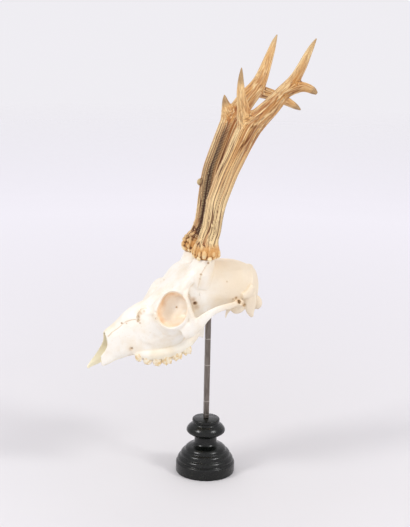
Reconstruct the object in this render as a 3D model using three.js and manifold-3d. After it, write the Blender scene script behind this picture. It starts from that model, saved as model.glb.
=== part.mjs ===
// A roe deer skull with its antlers, fixed on a square rod above a turned, black painted foot.
//
// Units are millimetres, +Z is up, the nose points to -Y and the animal's left side is +X.
// The origin is the centre of the underside of the foot.
//
// The skull is drawn in its own level frame: "u" runs forward from the back of the skull, "w" runs up
// from the hinge of the neck and "x" runs to the animal's left. A group then tips it nose down.
// The skull is first built as one body and is then parted along the sutures between its bones.

import * as THREE from "three";
import { LoftGeometry } from "three/addons/geometries/LoftGeometry.js";
import { mergeVertices } from "three/addons/utils/BufferGeometryUtils.js";
import Module from "manifold-3d";

const wasm = await Module();
wasm.setup();

// ---------------------------------------------------------------- driving sizes

const SKULL_PITCH = THREE.MathUtils.degToRad(17);
const SKULL_BACK_Y = 57;
const SKULL_BACK_Z = 189;
const SUTURE_GAP = 0.3;

const FOOT_HEIGHT = 61;
const FOOT_RADIUS = 32;
const ROD_WIDTH = 5.2;
const ROD_TOP_Z = 186;
const PEDICLE_TOP_Z = 244.4;
const ANTLER_FOOT_Z = 245.3;

// The left eye socket: its middle, the way it faces, its long axis and its half sizes.
const ORBIT_MIDDLE = new THREE.Vector3(30.5, -100.3, 37.6);
const ORBIT_FACING = new THREE.Vector3(0.858, -0.304, 0.415).normalize();
const ORBIT_LONG_AXIS = new THREE.Vector3(-0.222, 0.509, 0.832);
const ORBIT_HALF_LENGTH = 16.6;
const ORBIT_HALF_HEIGHT = 18.8;
const ORBIT_DEPTH = 17;

const BURR_LUMPS = 11;
const BEAM_RIDGES = 7;

// ---------------------------------------------------------------- materials

function finish(colour, roughness, metalness = 0) {
  return new THREE.MeshStandardMaterial({ color: colour, roughness, metalness });
}

const bone = finish("#efe6d3", 0.62);
const boneWarm = finish("#eadcc2", 0.64);
const antlerBrown = finish("#a9804f", 0.6);
const antlerPale = finish("#cfb283", 0.5);
const blackPaint = finish("#1c2120", 0.28);
const darkMetal = finish("#4a4643", 0.45, 0.8);

// ---------------------------------------------------------------- solids and booleans

function solid(geometry) {
  const bare = geometry.index ? geometry.toNonIndexed() : geometry.clone();
  bare.deleteAttribute("normal");
  bare.deleteAttribute("uv");
  const merged = mergeVertices(bare, 1e-4);
  const shell = new wasm.Mesh({
    numProp: 3,
    vertProperties: merged.attributes.position.array,
    triVerts: new Uint32Array(merged.index.array),
  });
  return new wasm.Manifold(shell);
}

function join(pieces) {
  return pieces.reduce((whole, piece) => whole.add(piece));
}

function meshOf(name, body, material) {
  const shell = body.getMesh();
  const geometry = new THREE.BufferGeometry();
  const points = new Float32Array(shell.numVert * 3);
  for (let i = 0; i < shell.numVert; i++) {
    const first = i * shell.numProp;
    points.set(shell.vertProperties.subarray(first, first + 3), i * 3);
  }
  geometry.setAttribute("position", new THREE.BufferAttribute(points, 3));
  geometry.setIndex(new THREE.BufferAttribute(shell.triVerts, 1));
  geometry.computeVertexNormals();
  const mesh = new THREE.Mesh(geometry, material);
  mesh.name = name;
  return mesh;
}

// ---------------------------------------------------------------- lofts

function loft(sections) {
  return solid(new LoftGeometry(sections, { capStart: true, capEnd: true }));
}

function superCos(angle, power) {
  const value = Math.cos(angle);
  return Math.sign(value) * Math.abs(value) ** (2 / power);
}

// One upright section of the skull at u: its top and bottom heights and its half widths.
function skullRing([u, top, bottom, halfTop, halfBottom, power = 2.4], sides = 28) {
  const ring = [];
  for (let i = 0; i < sides; i++) {
    const angle = (2 * Math.PI * i) / sides;
    const across = superCos(angle, power);
    const rise = (1 + superCos(angle - Math.PI / 2, power)) / 2;
    const half = THREE.MathUtils.lerp(halfBottom, halfTop, rise);
    const w = THREE.MathUtils.lerp(bottom, top, rise);
    ring.push(new THREE.Vector3(half * across, -u, w));
  }
  return ring;
}

function skullLoft(stations, sides) {
  return loft(stations.map((station) => skullRing(station, sides)));
}

// A bar along a path. Each stop is [x, y, z, radius across, radius along "up"].
// "wave" may raise or lower the surface round each section.
function barLoft(stops, { sides = 12, up = [0, 0, 1], wave = () => 1 } = {}) {
  const upward = new THREE.Vector3(...up);
  const centres = stops.map(([x, y, z]) => new THREE.Vector3(x, y, z));
  const sections = stops.map(([, , , across, along = across], i) => {
    const before = centres[Math.max(i - 1, 0)];
    const after = centres[Math.min(i + 1, stops.length - 1)];
    const heading = after.clone().sub(before).normalize();
    const side = new THREE.Vector3().crossVectors(upward, heading).normalize();
    const other = new THREE.Vector3().crossVectors(heading, side);
    const ring = [];
    for (let k = 0; k < sides; k++) {
      const angle = (2 * Math.PI * k) / sides;
      const swell = wave(angle, i / (stops.length - 1));
      ring.push(
        centres[i]
          .clone()
          .addScaledVector(side, across * swell * Math.cos(angle))
          .addScaledVector(other, along * swell * Math.sin(angle)),
      );
    }
    return ring;
  });
  return loft(sections);
}

// In the skull's frame a bar is given as [x, u, w, ...].
function skullBar(stops, options = {}) {
  return barLoft(
    stops.map(([x, u, w, ...radii]) => [x, -u, w, ...radii]),
    options,
  );
}

function ellipsoid(x, u, w, halfX, halfU, halfW, turn = 0) {
  const ball = new THREE.SphereGeometry(1, 14, 9);
  ball.scale(halfX, halfU, halfW);
  ball.rotateZ(turn);
  ball.translate(x, -u, w);
  return solid(ball);
}

function box(x0, x1, y0, y1, z0, z1) {
  const block = new THREE.BoxGeometry(x1 - x0, y1 - y0, z1 - z0);
  block.translate((x0 + x1) / 2, (y0 + y1) / 2, (z0 + z1) / 2);
  return solid(block);
}

// A prism seen from the animal's left: an outline of [u, w] points carried from x0 to x1.
// "grow" moves each side outward.
function sidePrism(outline, x0, x1, grow = 0) {
  const flat = outline.map(([u, w]) => new THREE.Vector2(-u, w));
  if (THREE.ShapeUtils.isClockWise(flat)) flat.reverse();
  const moved = flat.map((point, i) => {
    const before = flat[(i + flat.length - 1) % flat.length];
    const after = flat[(i + 1) % flat.length];
    const a = point.clone().sub(before).normalize();
    const b = after.clone().sub(point).normalize();
    const out = new THREE.Vector2(a.y + b.y, -a.x - b.x).normalize();
    const lean = Math.max(out.dot(new THREE.Vector2(a.y, -a.x)), 0.4);
    return point.clone().addScaledVector(out, grow / lean);
  });
  const depth = x1 - x0 + 2 * grow;
  const prism = new THREE.ExtrudeGeometry(new THREE.Shape(moved), { depth, bevelEnabled: false });
  // The drawn plane (a, b) with depth c becomes x = c, y = a, z = b.
  prism.applyMatrix4(new THREE.Matrix4().makeBasis(
    new THREE.Vector3(0, 1, 0),
    new THREE.Vector3(0, 0, 1),
    new THREE.Vector3(1, 0, 0),
  ));
  prism.translate(x0 - grow, 0, 0);
  return solid(prism);
}

// ---------------------------------------------------------------- the whole skull

// The thin front end that the left premaxilla has lost.
const LOST_TIP = [
  [181, 22], [182.6, 6], [183.2, 1.6], [183.6, -2], [181, -4.6], [182, -16], [215, -16], [215, 22],
];

// [u, top, bottom, half width above, half width below, squareness]
const CORE = [
  [-5, 36, 29.6, 3, 3, 2.2],
  [-3.6, 39.4, 24, 8, 9, 2.2],
  [-0.6, 42.8, 16, 14, 15.5, 2.2],
  [3, 46.2, 10, 18.6, 21.6, 2.2],
  [8, 50.2, 7.2, 22.4, 27, 2.3],
  [14, 54, 6.8, 24.8, 30.2, 2.4],
  [21, 57.2, 7.4, 25.8, 31.2, 2.4],
  [29, 60.5, 8.2, 26.4, 31.2, 2.4],
  [38, 63.6, 9, 26.4, 30.6, 2.3],
  [48, 66.2, 9.5, 26.4, 29.4, 2.3],
  [58, 67.2, 9.5, 27, 28.4, 2.3],
  [66, 66.4, 9, 27.6, 27.6, 2.4],
  [72, 64.8, 8, 27.6, 26, 2.4],
  [78, 62.2, 5, 26.6, 22.6, 2.5],
  [84, 59.2, 0, 22, 17, 2.6],
  [90, 56.2, -4, 18, 20, 2.8],
  [98, 52.4, -7, 18, 24, 3],
  [106, 49, -9, 18, 26, 3.6],
  [114, 46, -10, 17, 26.4, 4],
  [121, 44.8, -9.6, 16, 25.8, 4.2],
  [128, 44, -8.4, 15, 24.2, 4.2],
  [136, 42.4, -6.8, 14, 21.6, 4],
  [144, 39.8, -5, 13, 18.4, 3.8],
  [152, 35.8, -3.8, 12.2, 15.2, 3.6],
  [160, 32.2, -3.4, 11.2, 13.2, 3.5],
  [170.4, 28, -3.2, 9.4, 12, 3.6],
  [171.6, 22.6, -3.2, 9.8, 11.8, 4.4],
  [175, 16.8, -3.4, 9.8, 11.4, 4.8],
  [180, 11.8, -3.8, 9.4, 10.6, 4.6],
  [187, 6.4, -4.2, 8, 9, 4],
  [193, 2.6, -4.4, 6.4, 7, 3.2],
  [198, -0.8, -4.6, 4.2, 4.6, 2.8],
];

const CHEEK = [
  [84, 22, 16, 40, 37, 2.2],
  [90, 24, 6, 40, 31, 2.6],
  [98, 24, -5, 38.4, 27.5, 3],
  [106, 30, -8.6, 34, 27.5, 3.2],
  [114, 41, -9.6, 26.4, 27.4, 3.2],
  [122, 43, -9, 22.6, 26, 3.2],
  [130, 42, -6.6, 18.4, 24, 3.1],
  [140, 39, 0, 14.6, 19.4, 2.8],
];

// One side of the brow: [u, outer x, top at the middle, top at the outer edge, thickness]
const BROW = [
  [44, 12, 65.4, 62, 6],
  [52, 19, 66.8, 66, 11],
  [60, 23, 66.8, 69, 15],
  [67, 26, 66, 68.4, 15],
  [74, 29.6, 64, 65.4, 13],
  [80, 32.2, 61, 60.8, 11],
  [87, 31.6, 57.6, 55.6, 9],
  [95, 26, 53.8, 52, 9],
  [104, 23.2, 49.6, 47.6, 8],
  [112, 23, 46.4, 43.4, 7],
  [119, 22, 44.9, 41, 6],
  [127, 17.4, 43.9, 39.8, 6],
];

function browRing([u, outer, middleTop, outerTop, thickness], side) {
  const ring = [];
  for (let i = 0; i < 14; i++) {
    const angle = (2 * Math.PI * i) / 14;
    const share = (1 + superCos(angle, 3)) / 2;
    const reach = side > 0 ? share : 1 - share;
    const top = THREE.MathUtils.lerp(middleTop, outerTop, reach);
    const sink = (1 - superCos(angle - Math.PI / 2, 3)) / 2;
    ring.push(new THREE.Vector3(side * outer * reach, -u, top - thickness * sink));
  }
  return ring;
}

function brow(side) {
  return loft(BROW.map((station) => browRing(station, side)));
}

function bothSides(build) {
  return join([build(1), build(-1)]);
}

// Places a shape drawn round the X axis in the eye socket of one side, facing outward.
function orbitFrame(geometry, side) {
  const mirror = new THREE.Vector3(side, 1, 1);
  const facing = ORBIT_FACING.clone().multiply(mirror);
  const long = ORBIT_LONG_AXIS.clone().multiply(mirror);
  const across = new THREE.Vector3().crossVectors(long, facing).normalize();
  geometry.applyMatrix4(new THREE.Matrix4().makeBasis(facing, across, long));
  geometry.translate(side * ORBIT_MIDDLE.x, ORBIT_MIDDLE.y, ORBIT_MIDDLE.z);
  return solid(geometry);
}

// The rim stands proud of the face and falls away round the outside, less far under the forehead.
function orbitRim(side) {
  const steps = [[-9, 8], [-4.5, 5], [-0.6, 2.8], [0.9, 1.4], [1.2, 0.2]];
  const sections = steps.map(([out, wider]) => {
    const ring = [];
    for (let i = 0; i < 22; i++) {
      const angle = (2 * Math.PI * i) / 22;
      const near = THREE.MathUtils.clamp(0.35 + 1.1 * Math.sin(angle), 0, 1);
      const reach = wider - Math.max(wider - 2.7, 0) * near;
      ring.push(new THREE.Vector3(
        out,
        (ORBIT_HALF_LENGTH + reach) * Math.cos(angle),
        (ORBIT_HALF_HEIGHT + reach) * Math.sin(angle),
      ));
    }
    return ring;
  });
  const flange = orbitFrame(new LoftGeometry(sections, { capStart: true, capEnd: true }), side);
  return flange.subtract(ellipsoid(side * 30, 66, 34, 20, 18.4, 18));
}

function orbitHollow(side) {
  const cup = new THREE.SphereGeometry(1, 20, 12);
  cup.scale(ORBIT_DEPTH, ORBIT_HALF_LENGTH, ORBIT_HALF_HEIGHT);
  return orbitFrame(cup, side);
}

function zygomaticArch(side) {
  return skullBar(
    [
      [side * 36.8, 98, 11, 2.4, 8],
      [side * 39.4, 90, 13, 2.4, 8.6],
      [side * 41.2, 81, 16, 2.2, 7.2],
      [side * 42.2, 72, 20.4, 2, 5.4],
      [side * 41.4, 62, 23.2, 1.8, 4],
      [side * 39, 52, 22.8, 1.8, 3.6],
      [side * 35.6, 42, 20.8, 2.2, 3.4],
      [side * 31, 34, 18.6, 2.6, 3.2],
      [side * 27, 29, 17.6, 2.8, 3],
    ],
    { sides: 8, up: [0, 0, 1] },
  );
}

function postorbitalBar(side) {
  return skullBar(
    [
      [side * 27, 79, 54, 3.6, 4],
      [side * 33.2, 83, 47.4, 2.8, 2.6],
      [side * 37.2, 84.2, 39, 2.3, 2.2],
      [side * 39.8, 84, 29, 2.6, 2.2],
      [side * 41, 84.4, 18, 4, 2.4],
    ],
    { sides: 8, up: [1, 0, 0] },
  );
}

function pedicle(side) {
  return skullBar(
    [
      [side * 13.6, 62, 48, 14, 15.4],
      [side * 15.6, 56, 60.4, 13, 14.6],
      [side * 17.4, 50.5, 67.4, 11.4, 12.2],
      [side * 17.9, 49.2, 71.8, 10.8, 11.4],
      [side * 18, 47.8, 77, 10.4, 11],
    ],
    { sides: 14, up: [1, 0, 0] },
  );
}

function earRegion(side) {
  const bulla = ellipsoid(side * 20, 29.5, 9.6, 6.4, 8, 6.2);
  const earTube = skullBar(
    [
      [side * 22, 29.4, 14, 5.4, 5.4],
      [side * 28, 28.6, 17, 4.8, 4.8],
      [side * 31.6, 28.2, 19, 3.7, 4],
    ],
    { sides: 10, up: [0, 0, 1] },
  );
  const styloid = skullBar(
    [
      [side * 20, 38, 13, 3, 2.6],
      [side * 21, 43, 8.5, 1.6, 1.2],
      [side * 21.4, 46, 3.6, 0.7, 0.5],
    ],
    { sides: 8, up: [1, 0, 0] },
  );
  const paroccipital = skullBar(
    [
      [side * 25, 14, 22, 3.4, 7],
      [side * 25, 16.4, 10, 2.8, 6.6],
      [side * 24.6, 18.4, 2, 2, 4.6],
      [side * 24, 18, -4.6, 1, 1.6],
    ],
    { sides: 8, up: [0, -1, 0] },
  );
  return join([bulla, earTube, styloid, paroccipital]);
}

function condyle(side) {
  return ellipsoid(side * 12, 6.2, 5, 6.4, 6.4, 8, side * 0.35);
}

// The rounded edge that carries the forehead out onto the rim of the eye socket.
function browEdge(side) {
  return skullBar(
    [
      [side * 20, 82, 54, 5, 5],
      [side * 20, 90, 50.6, 5, 5],
      [side * 20, 100, 45.8, 5, 5],
      [side * 20.4, 107, 41.8, 5, 5],
      [side * 20.8, 114, 36.6, 4.4, 4.4],
    ],
    { sides: 10, up: [0, 0, 1] },
  );
}

// The ridge of the upper jaw that holds the cheek teeth.
function toothRidge(side) {
  return skullBar(
    [
      [side * 12.6, 150, 0.6, 1, 1.6],
      [side * 14.6, 144, -2, 3, 4.4],
      [side * 17.2, 137, -5, 4.2, 6],
      [side * 19.6, 126, -7.6, 5, 6.4],
      [side * 21.2, 114, -8.8, 5.4, 6.6],
      [side * 21.8, 102, -7.8, 5.6, 6.8],
      [side * 21, 91, -4.6, 5.4, 7.4],
      [side * 17, 80, 2, 4.4, 9],
    ],
    { sides: 10, up: [0, 0, 1] },
  );
}

// The thin plates that hang behind the palate, beside the inner nostrils.
function pterygoidPlate(side) {
  const outline = [
    [96, 10], [96, -6.6], [86, -6.6], [77, -8.8], [72.3, -13.2], [70.5, -9],
    [68.4, -3], [66, 3], [61.5, 8], [56, 9.5], [56, 16], [80, 18],
  ];
  const inner = 8.4;
  const outer = 11.4;
  return side > 0 ? sidePrism(outline, inner, outer) : sidePrism(outline, -outer, -inner);
}

// Cheek teeth from the front one back: [front u, back u, gum w, crown tip w, outer x, width]
const TEETH = [
  [149, 142.5, -2, -9.4, 18.8, 6.2],
  [142.1, 133.5, -4.5, -15.4, 21.6, 7.6],
  [133.1, 124.5, -8, -19.8, 24.4, 8.8],
  [124.1, 113.6, -9, -21.4, 26.8, 10.6],
  [113.2, 101.7, -8, -20.4, 28, 11.4],
  [101.3, 90.6, -5.4, -18.6, 27.8, 10.8],
];

function tooth([front, back, gum, tip, outer, width], side) {
  const middle = (front + back) / 2;
  const half = (front - back) / 2;
  const x = side * (outer - width / 2);
  const crown = [
    [middle, half * 0.86, width * 0.44, gum + 5],
    [middle, half * 0.98, width * 0.5, gum - 2],
    [middle, half, width * 0.5, tip + 3],
    [middle, half * 0.84, width * 0.42, tip + 0.8],
    [middle, half * 0.6, width * 0.2, tip],
  ];
  const sections = crown.map(([u, along, across, w]) => {
    const ring = [];
    for (let i = 0; i < 8; i++) {
      const angle = (-2 * Math.PI * (i + 0.5)) / 8;
      ring.push(new THREE.Vector3(
        x + across * superCos(angle, 3.2),
        -u + along * superCos(angle - Math.PI / 2, 3.2),
        w,
      ));
    }
    return ring;
  });
  return loft(sections);
}

// A block that stands upright in the object's frame, brought into the skull's.
function uprightBlock(width, depth, low, high, y = 0) {
  const block = new THREE.BoxGeometry(width, depth, high - low);
  block.translate(0, y - SKULL_BACK_Y, (low + high) / 2 - SKULL_BACK_Z);
  block.rotateX(-SKULL_PITCH);
  return solid(block);
}

function wholeSkull() {
  const outside = join([
    skullLoft(CORE, 20),
    skullLoft(CHEEK, 16),
    bothSides(brow),
    bothSides(browEdge),
    bothSides(orbitRim),
    bothSides(zygomaticArch),
    bothSides(postorbitalBar),
    bothSides(pedicle),
    bothSides(earRegion),
    bothSides(condyle),
    bothSides(pterygoidPlate),
    bothSides(toothRidge),
  ]);
  const nuchalCrest = skullBar(
    [
      [-27, 11, 26, 2, 3],
      [-23, 7.4, 34, 2, 2.4],
      [-13, 2.6, 39.6, 2, 2],
      [0, -1.6, 41.2, 2, 2.2],
      [13, 2.6, 39.6, 2, 2],
      [23, 7.4, 34, 2, 2.4],
      [27, 11, 26, 2, 3],
    ],
    { sides: 8, up: [0, 0, 1] },
  );
  const neckOpening = skullBar(
    [
      [0, -12, 14, 10, 9],
      [0, 8, 14.5, 8.4, 8],
      [0, 22, 18, 6, 6],
    ],
    { sides: 12 },
  );
  const palateVault = skullLoft(
    [
      [80, -4, -30, 9, 17, 2.6],
      [92, -3.4, -30, 12, 16, 2.6],
      [104, -2.4, -30, 12.5, 16, 2.6],
      [116, -2.4, -30, 12, 15.6, 2.6],
      [130, -2, -30, 10, 14.4, 2.6],
      [144, -1, -30, 8, 11.6, 2.6],
      [154, -1.4, -30, 6, 9, 2.6],
    ],
    14,
  );
  const innerNostril = skullLoft(
    [
      [50, 2, -30, 8, 8, 3],
      [62, 6, -30, 8, 8, 3],
      [72, 8, -30, 8, 8, 3],
      [84, 6, -30, 8, 8, 3],
      [96, 2, -30, 7.4, 8, 3],
    ],
    14,
  );
  const noseOpening = skullLoft(
    [
      [134, 24, 14, 5, 5, 2.4],
      [144, 32, 8, 8.6, 8.6, 2.4],
      [156, 32, 5, 9.4, 10, 2.4],
      [168, 28, 3.6, 8.4, 9.4, 2.4],
      [176, 27, 2.4, 8, 8.8, 2.4],
      [184, 22, 0.8, 7, 7.6, 2.4],
      [206, 16, -3, 6, 4, 2.4],
    ],
    14,
  );
  const incisiveOpening = skullLoft(
    [
      [163, 12, -12, 2.4, 2.4, 2.2],
      [170, 12, -12, 5.2, 5.2, 2.2],
      [188, 12, -12, 4.4, 4.4, 2.2],
      [206, 12, -12, 1.2, 1.2, 2.2],
    ],
    10,
  );
  // The hole in the base of the skull takes the top of the rod.
  const pocketWidth = ROD_WIDTH + 2 * SUTURE_GAP;
  const rodPocket = uprightBlock(pocketWidth, pocketWidth, ROD_TOP_Z - 40, ROD_TOP_Z + SUTURE_GAP);
  // The antlers sit on the level tops of the pedicles.
  const abovePedicles = uprightBlock(90, 60, PEDICLE_TOP_Z, PEDICLE_TOP_Z + 40, -6);
  let skull = outside
    .subtract(orbitHollow(1))
    .subtract(orbitHollow(-1))
    .subtract(neckOpening)
    .subtract(palateVault)
    .subtract(innerNostril)
    .subtract(noseOpening)
    .subtract(incisiveOpening)
    .subtract(rodPocket)
    .subtract(abovePedicles)
    .subtract(sidePrism(LOST_TIP, 0.4, 24));
  for (const side of [1, -1]) {
    for (const entry of TEETH) skull = skull.add(tooth(entry, side));
  }
  return skull;
}

// ---------------------------------------------------------------- parting the bones

let rest = wholeSkull();

// Takes the part of the skull inside some prisms and leaves a suture round it.
function takeBone(prisms) {
  const inside = join(prisms.map(([outline, x0, x1]) => sidePrism(outline, x0, x1)));
  const wider = join(prisms.map(([outline, x0, x1]) => sidePrism(outline, x0, x1, SUTURE_GAP)));
  const bonePiece = rest.intersect(inside);
  rest = rest.subtract(wider);
  return bonePiece;
}

const NASAL = [
  [119, 60], [119, 41], [127, 37.5], [136, 34], [147, 35],
  [152, 34.4], [160, 30.4], [167, 26], [176, 26], [176, 60],
];
const PREMAXILLA = [
  [155, 33.4], [160.4, 30.2], [167, 25.6], [176, 26], [205, 20], [205, -20],
  [167.5, -20], [167.5, -2], [161, 15],
];
const FRONTAL_CORE = [
  [43, 100], [46, 66], [61.7, 56.7], [67, 44], [69, 16], [100, 16], [112, 30], [118.7, 41], [118.7, 100],
];
const FRONTAL_BROW = [
  [68, 40], [100, 40], [119, 38.6], [119, 100], [43, 100], [46, 66], [61.7, 56.7],
];
const FRONTAL_WALL = [
  [66.7, 44], [68.7, 16], [68.7, 12], [80, 12], [80, 17.5], [84.8, 17.5], [84.8, 40.2], [67.4, 40.2],
];
const LACRIMAL = [
  [100, 39.7], [119, 38.3], [119.3, 49], [127, 46], [135, 37.4], [134, 31], [127, 16],
  [114, 22], [100, 30],
];
const ZYGOMATIC_ARCH = [
  [52, 39.7], [80, 39.7], [80, 5], [52, 5],
];
const ZYGOMATIC_CHEEK = [
  [79.9, 39.7], [99.7, 39.7], [99.7, 29], [113.6, 21.6], [127, 15], [123, 8], [106, 5],
  [98, 2], [87, 2], [79.9, 4],
];
const PALATINE = [
  [50, 8], [60, 11.6], [69, 12.6], [89, 12.6], [89, -20], [50, -20],
];
const CRANIUM = [
  [-20, 80], [44, 80], [46, 66], [61.7, 56.7], [66.7, 44], [68.7, 16], [68.7, 13],
  [60, 12.2], [49, 8.4], [49, -20], [-20, -20],
];

const half = SUTURE_GAP / 2;
const FAR = 60;

const bones = new Map();
for (const [word, side] of [["left", 1], ["right", -1]]) {
  const span = (near, far) => (side > 0 ? [near, far] : [-far, -near]);
  bones.set("nasal_" + word, takeBone([[NASAL, ...span(half, 15)]]));
  bones.set("premaxilla_" + word, takeBone([[PREMAXILLA, ...span(half, 20)]]));
}
bones.set("frontal", takeBone([
  [FRONTAL_CORE, -20, 20],
  [FRONTAL_BROW, 19.9, FAR],
  [FRONTAL_BROW, -FAR, -19.9],
  [FRONTAL_WALL, 19.9, 33],
  [FRONTAL_WALL, -33, -19.9],
]));
for (const [word, side] of [["left", 1], ["right", -1]]) {
  const span = (near, far) => (side > 0 ? [near, far] : [-far, -near]);
  bones.set("lacrimal_" + word, takeBone([[LACRIMAL, ...span(15, FAR)]]));
  bones.set("zygomatic_" + word, takeBone([
    [ZYGOMATIC_ARCH, ...span(33, FAR)],
    [ZYGOMATIC_CHEEK, ...span(26, FAR)],
  ]));
}
bones.set("palatine", takeBone([[PALATINE, -12.4, 12.4]]));
bones.set("cranium", takeBone([[CRANIUM, -FAR, FAR]]));
for (const [word, side] of [["left", 1], ["right", -1]]) {
  const span = (near, far) => (side > 0 ? [near, far] : [-far, -near]);
  const whole = [[74, 60], [180, 60], [180, -30], [74, -30]];
  bones.set("maxilla_" + word, takeBone([[whole, ...span(half, FAR)]]));
}

// ---------------------------------------------------------------- antlers

// Stops of one antler: [x, forward, height, radius]. The beam runs on into the top tine,
// and a web of antler fills the fork between the top and the front tine.
const ANTLERS = {
  left: {
    beam: [
      [18, 10.7, ANTLER_FOOT_Z, 10.8], [18, 10.6, 248, 14.4], [18.1, 9.8, 252.5, 15.4], [18.3, 9.2, 256.5, 15],
      [18.6, 8.6, 260.5, 12.8], [18.9, 7.6, 267, 11.2], [19.6, 5.4, 275, 10.6], [20.5, 4.1, 286, 10.4],
      [21.5, 2.7, 296.6, 10.5], [22.6, 0.9, 307, 10.9], [24, -2.4, 318, 11], [25.2, -5.6, 328, 11.1],
      [26.5, -9.5, 338.7, 11], [27.8, -14, 349, 11], [29.2, -18.4, 359.5, 11.3], [30.8, -22.8, 370, 11.9],
      [32.6, -28, 381, 12.2],
    ],
    front: [
      [31.4, -24.6, 380, 8], [32.4, -22.6, 392, 7.8], [33, -21.2, 402, 6.6], [33.5, -18.9, 411, 5.2],
      [34, -17.4, 426, 3.5], [34.2, -17.4, 435, 2.3], [34.3, -17.8, 443.4, 0.9],
    ],
    top: [
      [34.4, -34.6, 389, 11.2], [36.8, -41.5, 396.4, 10.2], [39.6, -48, 403.6, 9.3], [43, -54.4, 412.4, 8.5],
      [47, -60.1, 420.8, 7.8], [51.4, -65.3, 429, 6.8], [55, -69.8, 438, 5.6], [58.5, -73.6, 448, 4.7],
      [62, -77.2, 458.8, 3.6], [64.6, -80.6, 467.6, 2.3], [66, -84, 474.6, 0.8],
    ],
    back: [
      [49, -62.5, 423, 6], [53.6, -68.6, 425.4, 6.2], [58, -74.8, 426, 5.4], [61, -80, 424.6, 4.6],
      [64, -84.6, 421.8, 3.4], [65.6, -87, 419.6, 1.6],
    ],
    frontCut: [[-30.2, 401.5], [-24, 392.5], [-8, 388], [10, 388], [10, 470], [-29, 470]],
    topCut: [[-29.6, 401.5], [-23.6, 392.4], [-52, 376], [-120, 376], [-120, 500], [-29.6, 500]],
    web: [[33, -23.4, 391, 6], [34, -28.5, 390.4, 6.6], [35.8, -35, 393.6, 7]],
    backCut: [[-73.6, 435.5], [-66.6, 425], [-66, 410], [-110, 395], [-110, 441]],
  },
  right: {
    beam: [
      [-18, 10.7, ANTLER_FOOT_Z, 10.8], [-18, 10.6, 248, 14.4], [-18, 9.3, 252.8, 15.6], [-18.2, 8, 257, 15],
      [-18.5, 5.6, 261, 12.9], [-18.9, 3, 267, 11.6], [-19.8, 0.4, 273.6, 11.2], [-20.5, -1.4, 281, 11.2],
      [-21.5, -2.9, 289, 11.2], [-22.6, -4.7, 299, 11.5], [-23.8, -6.5, 309.4, 11.4], [-25, -8.5, 320, 11.5],
      [-26.3, -11.4, 331, 11.5], [-27.6, -15.9, 342.5, 11.5], [-29, -21.4, 355.6, 11.6],
      [-30.5, -26, 366.2, 11.8], [-32.2, -30.8, 376.6, 12],
    ],
    front: [
      [-32, -29, 376, 8], [-33, -28, 386, 8], [-33.8, -26.8, 394, 6.4], [-34, -25, 400, 4.4],
      [-34, -24, 405, 2.6], [-34, -23.4, 409, 0.9],
    ],
    top: [
      [-34.4, -37.2, 386.6, 11.2], [-36.6, -44, 395.6, 10.5], [-39, -51, 403.6, 9.9], [-43, -59.8, 411.4, 9.2],
      [-47, -67.4, 420.4, 7.8], [-52, -73.9, 431.3, 6.2], [-57, -79.9, 442.6, 5], [-61, -85.1, 452.9, 3.9],
      [-64, -89.4, 462.3, 2.5], [-66, -93, 469.4, 0.8],
    ],
    back: [
      [-45, -64, 411.5, 7], [-50, -71.6, 409, 7], [-54, -82.4, 406, 6.2], [-58, -95.7, 401.5, 5.5],
      [-62, -109.3, 395, 4.3], [-65, -119, 389.8, 2.7], [-66, -124, 386.8, 1],
    ],
    frontCut: [[-34.6, 397.5], [-29, 391], [-14, 385], [5, 385], [5, 430], [-33, 430]],
    topCut: [[-34, 397.5], [-28.6, 390.8], [-56, 375], [-140, 375], [-140, 500], [-34, 500]],
    web: [[-33, -28, 386, 6], [-34.4, -33, 386, 6.6], [-36, -39, 390, 7]],
    backCut: [[-78.6, 419.5], [-71.6, 410], [-70, 396], [-150, 360], [-150, 419]],
  },
};

function antlerBar(stops, options) {
  const path = stops.map(([x, forward, height, radius]) => [x, -forward, height, radius]);
  return barLoft(path, { up: [1, 0, 0], ...options });
}

// The burr at the foot is a knobbly crown and the beam above it is ridged along its length.
function beamWave(angle, along) {
  if (along < 0.03) return 1;
  if (along < 0.13) return 1 + 0.07 * Math.cos(BURR_LUMPS * angle);
  return 1 + 0.035 * Math.cos(BEAM_RIDGES * angle + 3.4 * along) * (1 - along);
}

const antlers = new Map();
for (const [word, plan] of Object.entries(ANTLERS)) {
  const main = antlerBar([...plan.beam, ...plan.top], { sides: 22, wave: beamWave });
  const front = antlerBar(plan.front, { sides: 10 });
  const web = antlerBar(plan.web, { sides: 10 });
  const back = antlerBar(plan.back, { sides: 10 });
  rest = join([main, front, web, back]);
  if (word === "right") rest = rest.add(ellipsoid(-25, 4.2, 317.6, 3.2, 3.4, 3.4));
  const near = word === "left" ? 0 : -110;
  antlers.set("antler_" + word + "_front_tine", takeBone([[plan.frontCut, near, near + 110]]));
  antlers.set("antler_" + word + "_back_tine", takeBone([[plan.backCut, near, near + 110]]));
  antlers.set("antler_" + word + "_top", takeBone([[plan.topCut, near, near + 110]]));
  antlers.set("antler_" + word + "_beam", rest);
}

// ---------------------------------------------------------------- rod and foot

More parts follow.
